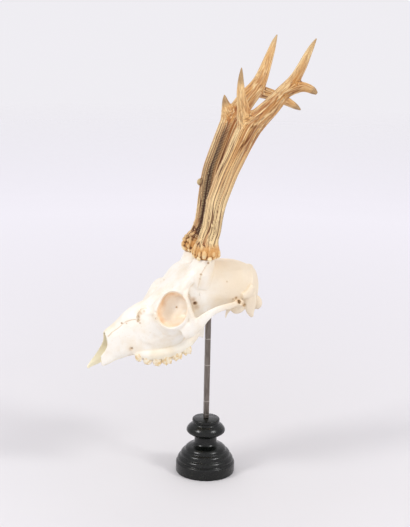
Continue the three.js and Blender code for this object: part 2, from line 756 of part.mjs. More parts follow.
const FOOT_PROFILE = [
  [0, 0], [FOOT_RADIUS - 1.2, 0], [FOOT_RADIUS, 1.2], [FOOT_RADIUS, 9.6], [FOOT_RADIUS - 0.9, 10.6],
  [FOOT_RADIUS - 1.1, 11.6], [FOOT_RADIUS - 0.6, 12.6], [FOOT_RADIUS - 0.9, 15], [30.2, 16.6],
  [29.9, 17.6], [30.1, 18.4], [29.3, 20.8], [27.6, 22.4], [27.2, 23.2], [26.8, 24.4], [24.6, 27],
  [22.4, 28.6], [21.8, 29.6], [20, 31.4], [17, 33.6], [14.4, 34.8], [12.9, 35.8], [12.4, 37.4],
  [12.6, 39], [14.2, 40], [17.4, 41], [19.8, 43], [20.9, 45.4], [21, 47.8], [20, 50.6], [17.8, 53],
  [15.4, 54.4], [14.2, 55.6], [13.8, 57.2], [14.6, 58.4], [15, 59.6], [14.6, 60.6],
  [14, FOOT_HEIGHT], [0, FOOT_HEIGHT],
];

function footSolid() {
  const outline = FOOT_PROFILE.map(([radius, height]) => new THREE.Vector2(radius, height));
  const turned = new THREE.LatheGeometry(outline, 28);
  turned.rotateX(Math.PI / 2);
  return solid(turned);
}

const rodSolid = box(
  -ROD_WIDTH / 2, ROD_WIDTH / 2, -ROD_WIDTH / 2, ROD_WIDTH / 2, FOOT_HEIGHT + SUTURE_GAP, ROD_TOP_Z,
);

// ---------------------------------------------------------------- the object

const object = new THREE.Group();
object.add(meshOf("stand_foot", footSolid(), blackPaint));
object.add(meshOf("stand_rod", rodSolid, darkMetal));

const skull = new THREE.Group();
skull.position.set(0, SKULL_BACK_Y, SKULL_BACK_Z);
skull.rotation.x = SKULL_PITCH;
for (const [name, body] of bones) {
  skull.add(meshOf(name, body, name.startsWith("maxilla") ? boneWarm : bone));
}
object.add(skull);

for (const [name, body] of antlers) {
  object.add(meshOf(name, body, name.endsWith("beam") ? antlerBrown : antlerPale));
}

export default object;
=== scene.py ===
# A roe deer's bleached skull with its antlers, held on a square rod above a turned, black painted foot.
#
# Shapes are worked out in millimetres and turned to metres as each piece is finished. The skull is drawn
# in its own level frame, as a bone bench would hold it: x to the animal's left, u forward from the back of
# the skull and w up, with y = -u and z = w. SKULL_PLACE tips it nose down and puts it on its rod.

import math

import bmesh
import bpy
import numpy as np
from mathutils import Matrix, Vector, kdtree, noise


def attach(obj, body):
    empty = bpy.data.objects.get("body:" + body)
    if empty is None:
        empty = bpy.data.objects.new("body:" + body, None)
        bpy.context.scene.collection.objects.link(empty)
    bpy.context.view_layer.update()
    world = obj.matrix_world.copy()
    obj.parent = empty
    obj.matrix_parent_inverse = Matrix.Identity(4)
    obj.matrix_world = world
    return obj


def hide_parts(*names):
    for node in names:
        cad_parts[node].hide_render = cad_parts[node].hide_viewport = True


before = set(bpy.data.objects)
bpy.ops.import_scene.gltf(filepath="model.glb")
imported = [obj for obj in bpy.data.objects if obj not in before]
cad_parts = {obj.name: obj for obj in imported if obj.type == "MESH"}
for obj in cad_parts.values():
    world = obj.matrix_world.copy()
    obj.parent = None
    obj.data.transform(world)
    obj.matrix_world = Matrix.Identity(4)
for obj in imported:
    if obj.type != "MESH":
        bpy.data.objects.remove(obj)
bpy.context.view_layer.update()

# ---------------------------------------------------------------- driving sizes, in millimetres

SKULL_PITCH = math.radians(17)
SKULL_PLACE = Matrix.Translation((0, 57, 189)) @ Matrix.Rotation(SKULL_PITCH, 4, "X")
BONE_SKIN = 0.62
BONE_SOFTENING = 7
SUTURE_GAP = 0.05
SUTURE_WANDER = 0.7
SUTURE_STEP = 1.3
LONGEST_SUTURE = 70
MARK_SLACK = 3.5

ORBIT_MIDDLE = Vector((30.5, -100.3, 37.6))
ORBIT_FACING = Vector((0.858, -0.304, 0.415)).normalized()
ORBIT_LONG_AXIS = Vector((-0.222, 0.509, 0.832))
ORBIT_HALF_LENGTH = 16.6
ORBIT_HALF_HEIGHT = 18.8
ORBIT_DEPTH = 16

ANTLER_FOOT = 245.3
ANTLER_SKIN = 0.6
GROOVE_SPACING = 2.8

FOOT_HEIGHT = 61
FOOT_RADIUS = 32
ROD_WIDTH = 5.2
ROD_TOP = 186
ROD_CHIPS = (151.3, 121.8, 80.6, 65.4)

SIDES = ((1, "left"), (-1, "right"))


# ---------------------------------------------------------------- meshes

def mesh_from(bm, name="part"):
    mesh = bpy.data.meshes.new(name)
    bm.to_mesh(mesh)
    bm.free()
    return mesh


def smooth_rows(table, way):
    """Rows of numbers read at way, from 0 to 1 along the table, on a smooth curve through every row."""
    table = np.array(table, float)
    steps = np.linalg.norm(np.diff(table[:, :3], axis=0), axis=1)
    knots = np.concatenate([[0.0], np.cumsum(steps)]) / steps.sum()
    slopes = np.gradient(table, knots, axis=0)
    i = np.clip(np.searchsorted(knots, way, side="right") - 1, 0, len(knots) - 2)
    gap = (knots[i + 1] - knots[i])[:, None]
    t = (way - knots[i])[:, None] / gap
    start = (2 * t**3 - 3 * t**2 + 1) * table[i] + (t**3 - 2 * t**2 + t) * gap * slopes[i]
    end = (3 * t**2 - 2 * t**3) * table[i + 1] + (t**3 - t**2) * gap * slopes[i + 1]
    return start + end


def super_cos(angle, power):
    value = np.cos(angle)
    return np.sign(value) * np.abs(value) ** (2 / power)


def rolled(around, along, place):
    """A closed skin: a flat grid rolled up round its path, welded at the seam and closed at both ends."""
    bm = bmesh.new()
    bmesh.ops.create_grid(bm, x_segments=around, y_segments=along, size=0.5)
    flat = np.array([v.co[:2] for v in bm.verts]) + 0.5
    for v, point in zip(bm.verts, place(flat[:, 0], flat[:, 1])):
        v.co = point
    bmesh.ops.remove_doubles(bm, verts=bm.verts, dist=1e-3)
    bmesh.ops.holes_fill(bm, edges=[e for e in bm.edges if e.is_boundary], sides=0)
    bmesh.ops.recalc_face_normals(bm, faces=bm.faces)
    return mesh_from(bm)


def upright_sections(table, around=48, along=90):
    """A skin through upright stations, given as the rows of CORE are."""
    def place(share, way):
        u, top, bottom, half_top, half_bottom, power = smooth_rows(table, way).T
        angle = 2 * math.pi * share
        rise = (1 + super_cos(angle - math.pi / 2, power)) / 2
        half = half_bottom + (half_top - half_bottom) * rise
        return np.stack([half * super_cos(angle, power), -u, bottom + (top - bottom) * rise], axis=1)
    return rolled(around, along, place)


def path_frames(stops, up):
    """Centres, both cross directions and the radii along a smooth path, as a function of the way."""
    def read(way):
        rows = smooth_rows(stops, way)
        ahead = smooth_rows(stops, np.minimum(way + 0.004, 1))[:, :3]
        behind = smooth_rows(stops, np.maximum(way - 0.004, 0))[:, :3]
        heading = ahead - behind
        heading /= np.linalg.norm(heading, axis=1)[:, None]
        side = np.cross(up, heading)
        side /= np.linalg.norm(side, axis=1)[:, None]
        return rows[:, :3], side, np.cross(heading, side), rows[:, 3:]
    return read


def bar(stops, up=(0, 0, 1), around=20, along=60):
    """A bar along a path. Each stop is [x, y, z, radius across, radius along "up"]."""
    stops = [(*stop, stop[3])[:5] for stop in stops]
    read = path_frames(stops, up)

    def place(share, way):
        centre, side, other, radii = read(way)
        angle = 2 * math.pi * share[:, None]
        return centre + side * radii[:, :1] * np.cos(angle) + other * radii[:, 1:2] * np.sin(angle)
    return rolled(around, along, place)


def skull_bar(stops, **options):
    return bar([(x, -u, w, *radii) for x, u, w, *radii in stops], **options)


def ball(centre, radii, turn=0.0, fineness=4):
    bm = bmesh.new()
    bmesh.ops.create_icosphere(bm, subdivisions=fineness, radius=1)
    bmesh.ops.scale(bm, verts=bm.verts, vec=radii)
    bmesh.ops.rotate(bm, verts=bm.verts, cent=(0, 0, 0), matrix=Matrix.Rotation(turn, 3, "Z"))
    bmesh.ops.translate(bm, verts=bm.verts, vec=centre)
    return mesh_from(bm)


def skull_ball(x, u, w, half_x, half_u, half_w, turn=0.0):
    return ball((x, -u, w), (half_x, half_u, half_w), turn)


def slab(outline, x0, x1, grow=0.0, wander=0.0):
    """A plate: an outline of (u, w) carried from x0 to x1, its edge wandering like a suture."""
    bm = bmesh.new()
    corners = [bm.verts.new((x0 - grow, -u, w)) for u, w in outline]
    bm.faces.new(corners)
    if wander:
        # Edges longer than any suture lie outside the bone.
        sutures = [e for e in bm.edges if e.calc_length() < LONGEST_SUTURE]
        for edge in sutures:
            bmesh.ops.subdivide_edges(bm, edges=[edge], cuts=max(1, int(edge.calc_length() / SUTURE_STEP)))
        for v in bm.verts:
            shift = noise.noise_vector(Vector((0.5, v.co.y * 0.34, v.co.z * 0.34)))
            fine = noise.noise_vector(Vector((9.5, v.co.y * 0.9, v.co.z * 0.9)))
            v.co.y += wander * (shift.y + 0.5 * fine.y)
            v.co.z += wander * (shift.z + 0.5 * fine.z)
    bm.faces.ensure_lookup_table()
    face = bm.faces[0]
    face.normal_update()
    if grow:
        rim = list(face.verts)
        moved = []
        for i, v in enumerate(rim):
            a = (v.co - rim[i - 1].co).normalized()
            b = (rim[(i + 1) % len(rim)].co - v.co).normalized()
            out = (a + b).cross(face.normal).normalized()
            moved.append(v.co + out * grow / max(out.dot(a.cross(face.normal)), 0.4))
        for v, co in zip(rim, moved):
            v.co = co
    carried = bmesh.ops.extrude_face_region(bm, geom=[face])
    far = [v for v in carried["geom"] if isinstance(v, bmesh.types.BMVert)]
    bmesh.ops.translate(bm, verts=far, vec=(x1 - x0 + 2 * grow, 0, 0))
    bmesh.ops.recalc_face_normals(bm, faces=bm.faces)
    return mesh_from(bm)


def joined(parts):
    bm = bmesh.new()
    for part in parts:
        bm.from_mesh(part)
    return mesh_from(bm)


def applied(mesh, *modifiers):
    """The mesh after some modifiers, each given as (kind, settings)."""
    holder = bpy.data.objects.new("bench", mesh)
    bpy.context.scene.collection.objects.link(holder)
    for kind, settings in modifiers:
        modifier = holder.modifiers.new(kind, kind)
        for key, value in settings.items():
            setattr(modifier, key, value)
    done = bpy.data.meshes.new_from_object(holder.evaluated_get(bpy.context.evaluated_depsgraph_get()))
    bpy.data.objects.remove(holder)
    return done


def one_skin(mesh, grain, softening):
    """One even closed skin round overlapping closed shells, softened like worn bone."""
    steps = [("REMESH", {"mode": "VOXEL", "voxel_size": grain, "adaptivity": 0.0})]
    if softening:
        steps.append(("SMOOTH", {"factor": 0.5, "iterations": softening}))
    return applied(mesh, *steps)


def combined(mesh, tool, operation):
    other = bpy.data.objects.new("tool", tool)
    bpy.context.scene.collection.objects.link(other)
    done = applied(mesh, ("BOOLEAN", {"operation": operation, "solver": "MANIFOLD", "object": other}))
    bpy.data.objects.remove(other)
    return done


def points_of(mesh):
    points = np.empty(len(mesh.vertices) * 3, np.float32)
    mesh.vertices.foreach_get("co", points)
    return points.reshape(-1, 3)


def normals_of(mesh):
    normals = np.empty(len(mesh.vertices) * 3, np.float32)
    mesh.vertex_normals.foreach_get("vector", normals)
    return normals.reshape(-1, 3)


def move_points(mesh, points):
    mesh.vertices.foreach_set("co", np.ascontiguousarray(points, np.float32).ravel())
    mesh.update()


def keep_values(mesh, name, values):
    """Stores one number for each point, for the piece's material to read."""
    layer = mesh.attributes.new(name, "FLOAT", "POINT")
    layer.data.foreach_set("value", np.clip(values, 0, 1).astype(np.float32))


def near_path(points, path, reach, slack=0.0):
    """How close each point is to a line of points: 1 on it, falling to 0 about two reaches away.

    A gap sideways to the skull counts only beyond each point's slack, so that a mark finds the surface.
    """
    slack = np.broadcast_to(slack, len(points))
    path = np.array(path, float)
    shares = np.linspace(0, 1, 12)[:, None]
    dense = np.concatenate([a + (b - a) * shares for a, b in zip(path[:-1], path[1:])])
    lowest = dense.min(axis=0) - 3 * reach - (MARK_SLACK, 0, 0)
    highest = dense.max(axis=0) + 3 * reach + (MARK_SLACK, 0, 0)
    inside = np.where(((points > lowest) & (points < highest)).all(axis=1))[0]
    result = np.zeros(len(points))
    if len(inside):
        offsets = points[inside][:, None] - dense[None]
        offsets[..., 0] = np.maximum(np.abs(offsets[..., 0]) - slack[inside][:, None], 0)
        result[inside] = np.exp(-((np.linalg.norm(offsets, axis=2).min(axis=1) / reach) ** 2))
    return result


def near_point(points, centre, reach, slack=0.0):
    offsets = points - np.array(centre)
    offsets[:, 0] = np.maximum(np.abs(offsets[:, 0]) - slack, 0)
    return np.exp(-(offsets ** 2).sum(axis=1) / reach**2)


def evened(mesh, rounds):
    """Where each point would lie if it were drawn to the mean of its neighbours some rounds over."""
    ends = np.empty(len(mesh.edges) * 2, np.int32)
    mesh.edges.foreach_get("vertices", ends)
    ends = ends.reshape(-1, 2)
    points = points_of(mesh)
    count = np.bincount(ends.ravel(), minlength=len(points))[:, None]
    mean = points.astype(float)
    for _ in range(rounds):
        total = np.stack([
            np.bincount(ends[:, 0], mean[ends[:, 1], axis], len(points))
            + np.bincount(ends[:, 1], mean[ends[:, 0], axis], len(points)) for axis in range(3)
        ], axis=1)
        mean = total / np.maximum(count, 1)
    return mean


def cavities(mesh, rounds):
    """How many millimetres each point lies below the mean of its neighbours: ridges are below 0."""
    return ((evened(mesh, rounds) - points_of(mesh)) * normals_of(mesh)).sum(axis=1)


# ---------------------------------------------------------------- the skull's shape

# [u, top, bottom, half width above, half width below, squareness]
CORE = [
    [-5, 36, 29.6, 3, 3, 2.2],
    [-3.6, 39.4, 24, 8, 9, 2.2],
    [-0.6, 42.8, 16, 14, 15.5, 2.2],
    [3, 46.2, 10, 18.6, 21.6, 2.2],
    [8, 50.2, 7.2, 22.4, 27, 2.3],
    [14, 54, 6.8, 24.8, 30.2, 2.35],
    [21, 57.2, 7.4, 25.8, 31.2, 2.4],
    [29, 60.5, 8.2, 26.4, 31.2, 2.35],
    [38, 63.6, 9, 26.4, 30.6, 2.3],
    [48, 66.2, 9.5, 26.4, 29.4, 2.3],
    [58, 67.2, 9.5, 27, 28.4, 2.3],
    [66, 66.4, 9, 27.6, 27.6, 2.35],
    [72, 64.8, 8, 27.6, 26, 2.4],
    [78, 62.2, 5, 26.6, 22.6, 2.5],
    [84, 59.2, 0, 22, 17, 2.6],
    [90, 56.2, -4, 18, 20, 2.8],
    [98, 52.4, -7, 18, 24, 3],
    [106, 49, -9, 18, 26, 3.6],
    [114, 46, -10, 17, 26.4, 4],
    [121, 44.8, -9.6, 16, 25.8, 4.2],
    [128, 44, -8.4, 15, 24.2, 4.2],
    [136, 42.4, -6.8, 14, 21.6, 4],
    [144, 39.8, -5, 13, 18.4, 3.8],
    [152, 35.8, -3.8, 12.2, 15.2, 3.6],
    [160, 32.2, -3.4, 11.2, 13.2, 3.5],
    [170.4, 28, -3.2, 9.4, 12, 3.6],
    [171.6, 22.6, -3.2, 9.8, 11.8, 4.4],
    [175, 16.8, -3.4, 9.8, 11.4, 4.8],
    [180, 11.8, -3.8, 9.4, 10.6, 4.6],
    [187, 6.4, -4.2, 8, 9, 4],
    [193, 2.6, -4.4, 6.4, 7, 3.2],
    [198, -0.8, -4.6, 4.2, 4.6, 2.8],
]

CHEEK = [
    [84, 22, 16, 40, 37, 2.2],
    [90, 24, 6, 40, 31, 2.6],
    [98, 24, -5, 38.4, 27.5, 3],
    [106, 30, -8.6, 34, 27.5, 3.2],
    [114, 41, -9.6, 26.4, 27.4, 3.2],
    [122, 43, -9, 22.6, 26, 3.2],
    [130, 42, -6.6, 18.4, 24, 3.1],
    [140, 39, 0, 14.6, 19.4, 2.8],
]

# One side of the brow: [u, outer x, top at the middle, top at the outer edge, thickness]
BROW = [
    [44, 12, 65.4, 62, 6],
    [52, 19, 66.8, 66, 11],
    [60, 23, 66.8, 69, 15],
    [67, 26, 66, 68.4, 15],
    [74, 29.6, 64, 65.4, 13],
    [80, 32.2, 61, 60.8, 11],
    [87, 31.6, 57.6, 55.6, 9],
    [95, 26, 53.8, 52, 9],
    [104, 23.2, 49.6, 47.6, 8],
    [112, 23, 46.4, 43.4, 7],
    [119, 22, 44.9, 41, 6],
    [127, 17.4, 43.9, 39.8, 6],
]


def brow(side):
    def place(share, way):
        _, outer, middle_top, outer_top, thickness = smooth_rows(BROW, way).T
        u = smooth_rows(BROW, way)[:, 0]
        angle = 2 * math.pi * share
        reach = (1 + super_cos(angle, 3)) / 2
        sink = (1 - super_cos(angle - math.pi / 2, 3)) / 2
        top = middle_top + (outer_top - middle_top) * reach
        return np.stack([side * outer * reach, -u, top - thickness * sink], axis=1)
    return rolled(28, 50, place)


def orbit_frame(side):
    """The matrix that puts a shape drawn round the X axis in the eye socket of one side, facing outward."""
    mirror = Vector((side, 1, 1))
    facing = ORBIT_FACING * mirror
    long = ORBIT_LONG_AXIS * mirror
    across = long.cross(facing).normalized()
    turn = Matrix((facing, across, long)).transposed().to_4x4()
    return Matrix.Translation(ORBIT_MIDDLE * mirror) @ turn


def put(mesh, matrix):
    """Moves a mesh, and turns its faces right way out again where the matrix mirrors it."""
    bm = bmesh.new()
    bm.from_mesh(mesh)
    bm.transform(matrix)
    bmesh.ops.recalc_face_normals(bm, faces=bm.faces)
    return mesh_from(bm)


def orbit_rim(side):
    """The rim stands proud of the face and falls away round the outside, less far under the forehead."""
    # How far out of the socket's plane and how much wider than the socket, in millimetres
    steps = [[-9, 8], [-4.5, 5], [-0.8, 2.7], [0.7, 1.5], [1.1, 0.4], [0.9, -0.6]]

    def place(share, way):
        out, wider = smooth_rows(steps, way).T
        angle = 2 * math.pi * share
        wider = wider - np.maximum(wider - 2.7, 0) * np.clip(0.35 + 1.1 * np.sin(angle), 0, 1)
        length = (ORBIT_HALF_LENGTH + wider) * np.cos(angle)
        return np.stack([out, length, (ORBIT_HALF_HEIGHT + wider) * np.sin(angle)], axis=1)
    flange = put(rolled(56, 14, place), orbit_frame(side))
    return combined(flange, skull_ball(side * 30, 66, 34, 20, 18.4, 18), "DIFFERENCE")


def orbit_hollow(side):
    hollow = ball((0, 0, 0), (ORBIT_DEPTH, ORBIT_HALF_LENGTH, ORBIT_HALF_HEIGHT), fineness=5)
    return put(hollow, orbit_frame(side))


def zygomatic_arch(side):
    return skull_bar([
        (side * 36.8, 98, 11, 2.4, 8),
        (side * 39.4, 90, 13, 2.4, 8.6),
        (side * 41.2, 81, 16, 2.2, 7.2),
        (side * 42.2, 72, 20.4, 2, 5.4),
        (side * 41.4, 62, 23.2, 1.8, 4),
        (side * 39, 52, 22.8, 1.8, 3.6),
        (side * 35.6, 42, 20.8, 2.2, 3.4),
        (side * 31, 34, 18.6, 2.6, 3.2),
        (side * 27, 29, 17.6, 2.8, 3),
    ])


def postorbital_bar(side):
    return skull_bar([
        (side * 27, 79, 54, 3.6, 4),
        (side * 33.2, 83, 47.4, 2.8, 2.6),
        (side * 37.2, 84.2, 39, 2.3, 2.2),
        (side * 39.8, 84, 29, 2.6, 2.2),
        (side * 41, 84.4, 18, 4, 2.4),
    ], up=(1, 0, 0))


def pedicle(side):
    return skull_bar([
        (side * 13.6, 62, 48, 14, 15.4),
        (side * 15.6, 57, 60, 13, 15),
        (side * 17, 52.6, 66.8, 11.6, 13.4),
        (side * 17.9, 49.4, 71.8, 10.8, 12),
        (side * 18, 47.8, 77, 10.4, 11.4),
    ], up=(1, 0, 0), around=32)


def ear_region(side):
    """The ear's bladder, tube and spur, the spike behind it, the crest above and the neck joint's knob."""
    bladder = skull_ball(side * 20, 29.5, 9.6, 6.4, 8, 6.2)
    tube = skull_bar([
        (side * 22, 29.4, 14, 5.4, 5.4), (side * 28, 28.6, 17, 4.8, 4.8), (side * 31.6, 28.2, 19, 3.7, 4),
    ], up=(0, 1, 0))
    spur = skull_bar([
        (side * 20, 38, 13, 3, 2.6), (side * 21, 43, 8.5, 1.6, 1.2), (side * 21.4, 46, 3.6, 0.8, 0.7),
    ], up=(1, 0, 0))
    spike = skull_bar([
        (side * 25, 14, 22, 3.4, 7), (side * 25, 16.4, 10, 2.8, 6.6), (side * 24.6, 18.4, 2, 2, 4.6),
        (side * 24, 18, -4.6, 1, 1.6),
    ], up=(0, 1, 0))
    crest = skull_bar([
        (side * 29, 9, 30, 3, 4), (side * 30.6, 17, 24, 2.6, 4.4), (side * 31, 24, 24, 2.2, 3),
    ])
    condyle = skull_ball(side * 12, 6.2, 5, 6.4, 6.4, 8, side * 0.35)
    return [bladder, tube, spur, spike, crest, condyle]


def brow_edge(side):
    """The rounded edge that carries the forehead out onto the rim of the eye socket."""
    return skull_bar([
        (side * 20, 82, 54, 5, 5),
        (side * 20, 90, 50.6, 5, 5),
        (side * 20, 100, 45.8, 5, 5),
        (side * 20.4, 107, 41.8, 5, 5),
        (side * 20.8, 114, 36.6, 4.4, 4.4),
    ])


def tooth_ridge(side):
    """The ridge of the upper jaw that holds the cheek teeth."""
    return skull_bar([
        (side * 12.6, 150, 0.6, 1, 1.6),
        (side * 14.6, 144, -2, 3, 4.4),
        (side * 17.2, 137, -5, 4.2, 6),
        (side * 19.6, 126, -7.6, 5, 6.4),
        (side * 21.2, 114, -8.8, 5.4, 6.6),
        (side * 21.8, 102, -7.8, 5.6, 6.8),
        (side * 21, 91, -4.6, 5.4, 7.4),
        (side * 17, 80, 2, 4.4, 9),
    ])


def pterygoid_plate(side):
    """The thin plates that hang behind the palate, beside the inner nostrils."""
    outline = [
        (96, 10), (96, -6.6), (86, -6.6), (77, -8.8), (72.3, -13.2), (70.5, -9),
        (68.4, -3), (66, 3), (61.5, 8), (56, 9.5), (56, 16), (80, 18),
    ]
    return slab(outline, 8.4, 11.2) if side > 0 else slab(outline, -11.2, -8.4)


def skull_shells():
    shells = [upright_sections(CORE, 72, 150), upright_sections(CHEEK, 48, 60)]
    for side, _ in SIDES:
        shells += [brow(side), brow_edge(side), orbit_rim(side)]
        shells += [zygomatic_arch(side), postorbital_bar(side), pedicle(side)]
        shells += [tooth_ridge(side), pterygoid_plate(side), *ear_region(side)]
    nape_crest = skull_bar([
        (-27, 11, 26, 2, 3), (-23, 7.4, 34, 2, 2.4), (-13, 2.6, 39.6, 2, 2), (0, -1.6, 41.2, 2, 2.2),
        (13, 2.6, 39.6, 2, 2), (23, 7.4, 34, 2, 2.4), (27, 11, 26, 2, 3),
    ])
    return [*shells, nape_crest]


def middle_hollows():
    neck_opening = skull_bar([(0, -12, 14, 10, 9), (0, 8, 14.5, 8.4, 8), (0, 22, 18, 6, 6)], around=32)
    palate_vault = upright_sections([
        [80, -4, -30, 9, 17, 2.6], [92, -3.4, -30, 12, 16, 2.6], [104, -2.4, -30, 12.5, 16, 2.6],
        [116, -2.4, -30, 12, 15.6, 2.6], [130, -2, -30, 10, 14.4, 2.6], [144, -1, -30, 8, 11.6, 2.6],
        [154, -1.4, -30, 6, 9, 2.6],
    ])
    inner_nostrils = upright_sections([
        [50, 2, -30, 8, 8, 3], [62, 6, -30, 8, 8, 3], [72, 8, -30, 8, 8, 3], [84, 6, -30, 8, 8, 3],
        [96, 2, -30, 7.4, 8, 3],
    ])
    nose_opening = upright_sections([
        [134, 24, 14, 5, 5, 2.4], [144, 33, 8, 8.6, 8.8, 2.4], [156, 32.4, 4, 9.6, 10.4, 2.4],
        [168, 28, 2.6, 8.6, 10, 2.4], [176, 27, 1.6, 8.4, 9.4, 2.4], [184, 22, 0.2, 7.4, 8, 2.4],
        [206, 16, -3, 6, 4, 2.4],
    ])
    palate_slit = upright_sections([
        [163, 12, -12, 2.4, 2.4, 2.2], [170, 12, -12, 5.2, 5.2, 2.2], [188, 12, -12, 4.4, 4.4, 2.2],
        [206, 12, -12, 1.2, 1.2, 2.2],
    ])
    return [neck_opening, palate_vault, inner_nostrils, nose_opening, palate_slit]


def side_hollows(side):
    ear_opening = skull_bar([
        (side * 36, 28, 20.4, 2.6, 1.8), (side * 30, 29, 19, 2.3, 1.7), (side * 24, 30, 17, 1.6),
    ], up=(0, 1, 0))
    gap_before_eye = skull_bar([
        (side * 17, 121.4, 42.2, 0.7, 8), (side * 17, 125.4, 42.4, 1.7, 8), (side * 17, 129.2, 40.8, 2.2, 8),
        (side * 17.4, 132, 38, 2.2, 8), (side * 18, 134, 35, 1.7, 8), (side * 18.4, 133.4, 32.4, 0.8, 8),
    ], up=(1, 0, 0))
    cheek_canal = skull_bar([
        (side * 22, 154, 6, 1, 1.2), (side * 15.4, 150.6, 6.4, 1.1, 1.3), (side * 12.6, 147.4, 7.2, 1, 1.2),
    ], up=(0, 0, 1))
    tear_holes = [
        skull_bar([(side * (x + 2), u + 1, w, 1.1), (side * (x - 5), u + 0.5, w + 0.5, 1)], up=(0, 1, 0))
        for u, w, x in ((116.6, 39, 27.4), (116.2, 32.4, 29.4))
    ]
    return [orbit_hollow(side), ear_opening, gap_before_eye, cheek_canal, *tear_holes]


def skull_hollows():
    return [*middle_hollows(), *side_hollows(1), *side_hollows(-1)]


def upright_block(width, depth, low, high, y=0.0):
    """A block that stands upright in the object's frame, brought into the skull's."""
    bm = bmesh.new()
    bmesh.ops.create_cube(bm, size=1)
    bmesh.ops.scale(bm, verts=bm.verts, vec=(width, depth, high - low))
    bmesh.ops.translate(bm, verts=bm.verts, vec=(0, y, (low + high) / 2))
    bm.transform(SKULL_PLACE.inverted())
    return mesh_from(bm)


def rod_pocket():
    return upright_block(ROD_WIDTH + 0.6, ROD_WIDTH + 0.6, 140, ROD_TOP + 0.3)


# Two sutures of the left side, from the top down and from the eye forward: (x, u, w)
CORONAL_SUTURE = [
    (29.7, 49, 71.5), (29.8, 54.5, 67.5), (29.7, 60.2, 62.2), (29.5, 62.5, 57.9), (28.6, 67, 49),
]
NASAL_SUTURE = [(18, 134.6, 34.6), (15, 140.6, 35.6), (13, 147.2, 35), (12, 156, 31), (11, 164, 28.4)]
# The suture down the middle of the forehead, with its reach and depth
FOREHEAD_SUTURE = [(0, 44, 66.4), (0, 60, 68), (0, 74, 65), (0, 90, 57), (0, 106, 49.6), (0, 118, 45)]
FOREHEAD_SUTURE_REACH = 0.6
FOREHEAD_SUTURE_DEPTH = 0.22
# Lines worked into the bone's surface: points (x, u, w), reach and how far the bone sinks, or rises below 0.
LEFT_LINES = [
    ([(24, 80, 60), (21, 70, 64), (20, 62, 64)], 2.2, -0.5),
    ([(26, 60, 60), (27, 44, 56), (25, 26, 52), (20, 12, 47)], 1.6, -0.35),
    ([(15, 112, 47), (16, 100, 51.6), (16, 90, 56)], 2.4, 0.12),
    ([(30, 108, 14), (28, 118, 10), (24, 130, 8)], 1.8, -0.4),
    ([(29, 8, 30), (30, 8, 22), (27, 9, 12)], 1.4, 0.4),
    (NASAL_SUTURE, 0.7, 0.35),
    (CORONAL_SUTURE, 0.7, 0.35),
    ([(26, 79.6, 46), (27, 78, 39), (28, 77.4, 30), (29, 78, 22)], 1.5, 1.2),
]
# Small openings: centre (x, u, w), reach and depth.
LEFT_PITS = [
    ((16, 90.5, 55.6), 0.9, 0.7),
    ((15.6, 101, 51), 0.7, 0.4),
    ((14, 91.9, 32.9), 1.1, 1.6),
    ((16, 101.6, 16.9), 0.9, 1),
    ((25, 74, 33.4), 1.5, 2.6),
    ((27, 23.6, 12), 1.3, 1.6),
    ((9.4, 150.9, 34.3), 0.8, 0.7),
    ((11.7, 146.7, 33.6), 0.8, 0.7),
    ((25.4, 35, 44), 0.7, 0.5),
    ((28, 40, 33), 0.6, 0.5),
    ((28, 123.2, 38.9), 0.9, 0.8),
    ((28, 119.2, 32.6), 0.9, 0.8),
]


def worked_surface(mesh):
    """The small relief of the bone: ridges, grooves, openings for nerves and an uneven growth."""
    points, normals = points_of(mesh), normals_of(mesh)
    slack = MARK_SLACK * np.abs(normals[:, 0])
    rise = np.array([
        0.16 * noise.noise(Vector(p) * 0.11) + 0.07 * noise.noise(Vector(p) * 0.42) for p in points
    ])
    for side, _ in SIDES:
        for path, reach, depth in LEFT_LINES:
            line = [(side * x, -u, w) for x, u, w in path]
            rise -= depth * near_path(points, line, reach, slack)
        for (x, u, w), reach, depth in LEFT_PITS:
            rise -= depth * near_point(points, (side * x, -u, w), reach, slack)
    middle = [(x, -u, w) for x, u, w in FOREHEAD_SUTURE]
    rise -= FOREHEAD_SUTURE_DEPTH * near_path(points, middle, FOREHEAD_SUTURE_REACH)
    move_points(mesh, points + normals * rise[:, None])


# Where the front of the eye socket's rim is flattened against the forehead: centre, reach and shift.
RIM_FRONT = (22, -112, 50)
RIM_FRONT_REACH = 11
RIM_FRONT_SHIFT = (0, 0.9, -3)
# The thin front end that the left premaxilla has lost: (u, w)
LOST_TIP = [(181, 22), (182.6, 6), (183.2, 1.6), (183.6, -2), (181, -4.6), (182, -16), (215, -16), (215, 22)]


def whole_skull():
    body = one_skin(joined(skull_shells()), BONE_SKIN + 0.1, 2)
    hollows = one_skin(joined(skull_hollows()), BONE_SKIN, 1)
    body = combined(body, hollows, "DIFFERENCE")
    body = one_skin(body, BONE_SKIN, BONE_SOFTENING)
    points = points_of(body)
    for side, _ in SIDES:
        share = near_point(points, RIM_FRONT * np.array([side, 1, 1]), RIM_FRONT_REACH)
        points += share[:, None] * np.array(RIM_FRONT_SHIFT)
    move_points(body, points)
    worked_surface(body)
    body = combined(body, rod_pocket(), "DIFFERENCE")
    # The antlers sit on the level tops of the pedicles.
    body = combined(body, upright_block(90, 60, ANTLER_FOOT - 0.15, 280, -6), "DIFFERENCE")
    return combined(body, slab(LOST_TIP, 0.4, 24, wander=0.5), "DIFFERENCE")


# ---------------------------------------------------------------- parting the bones

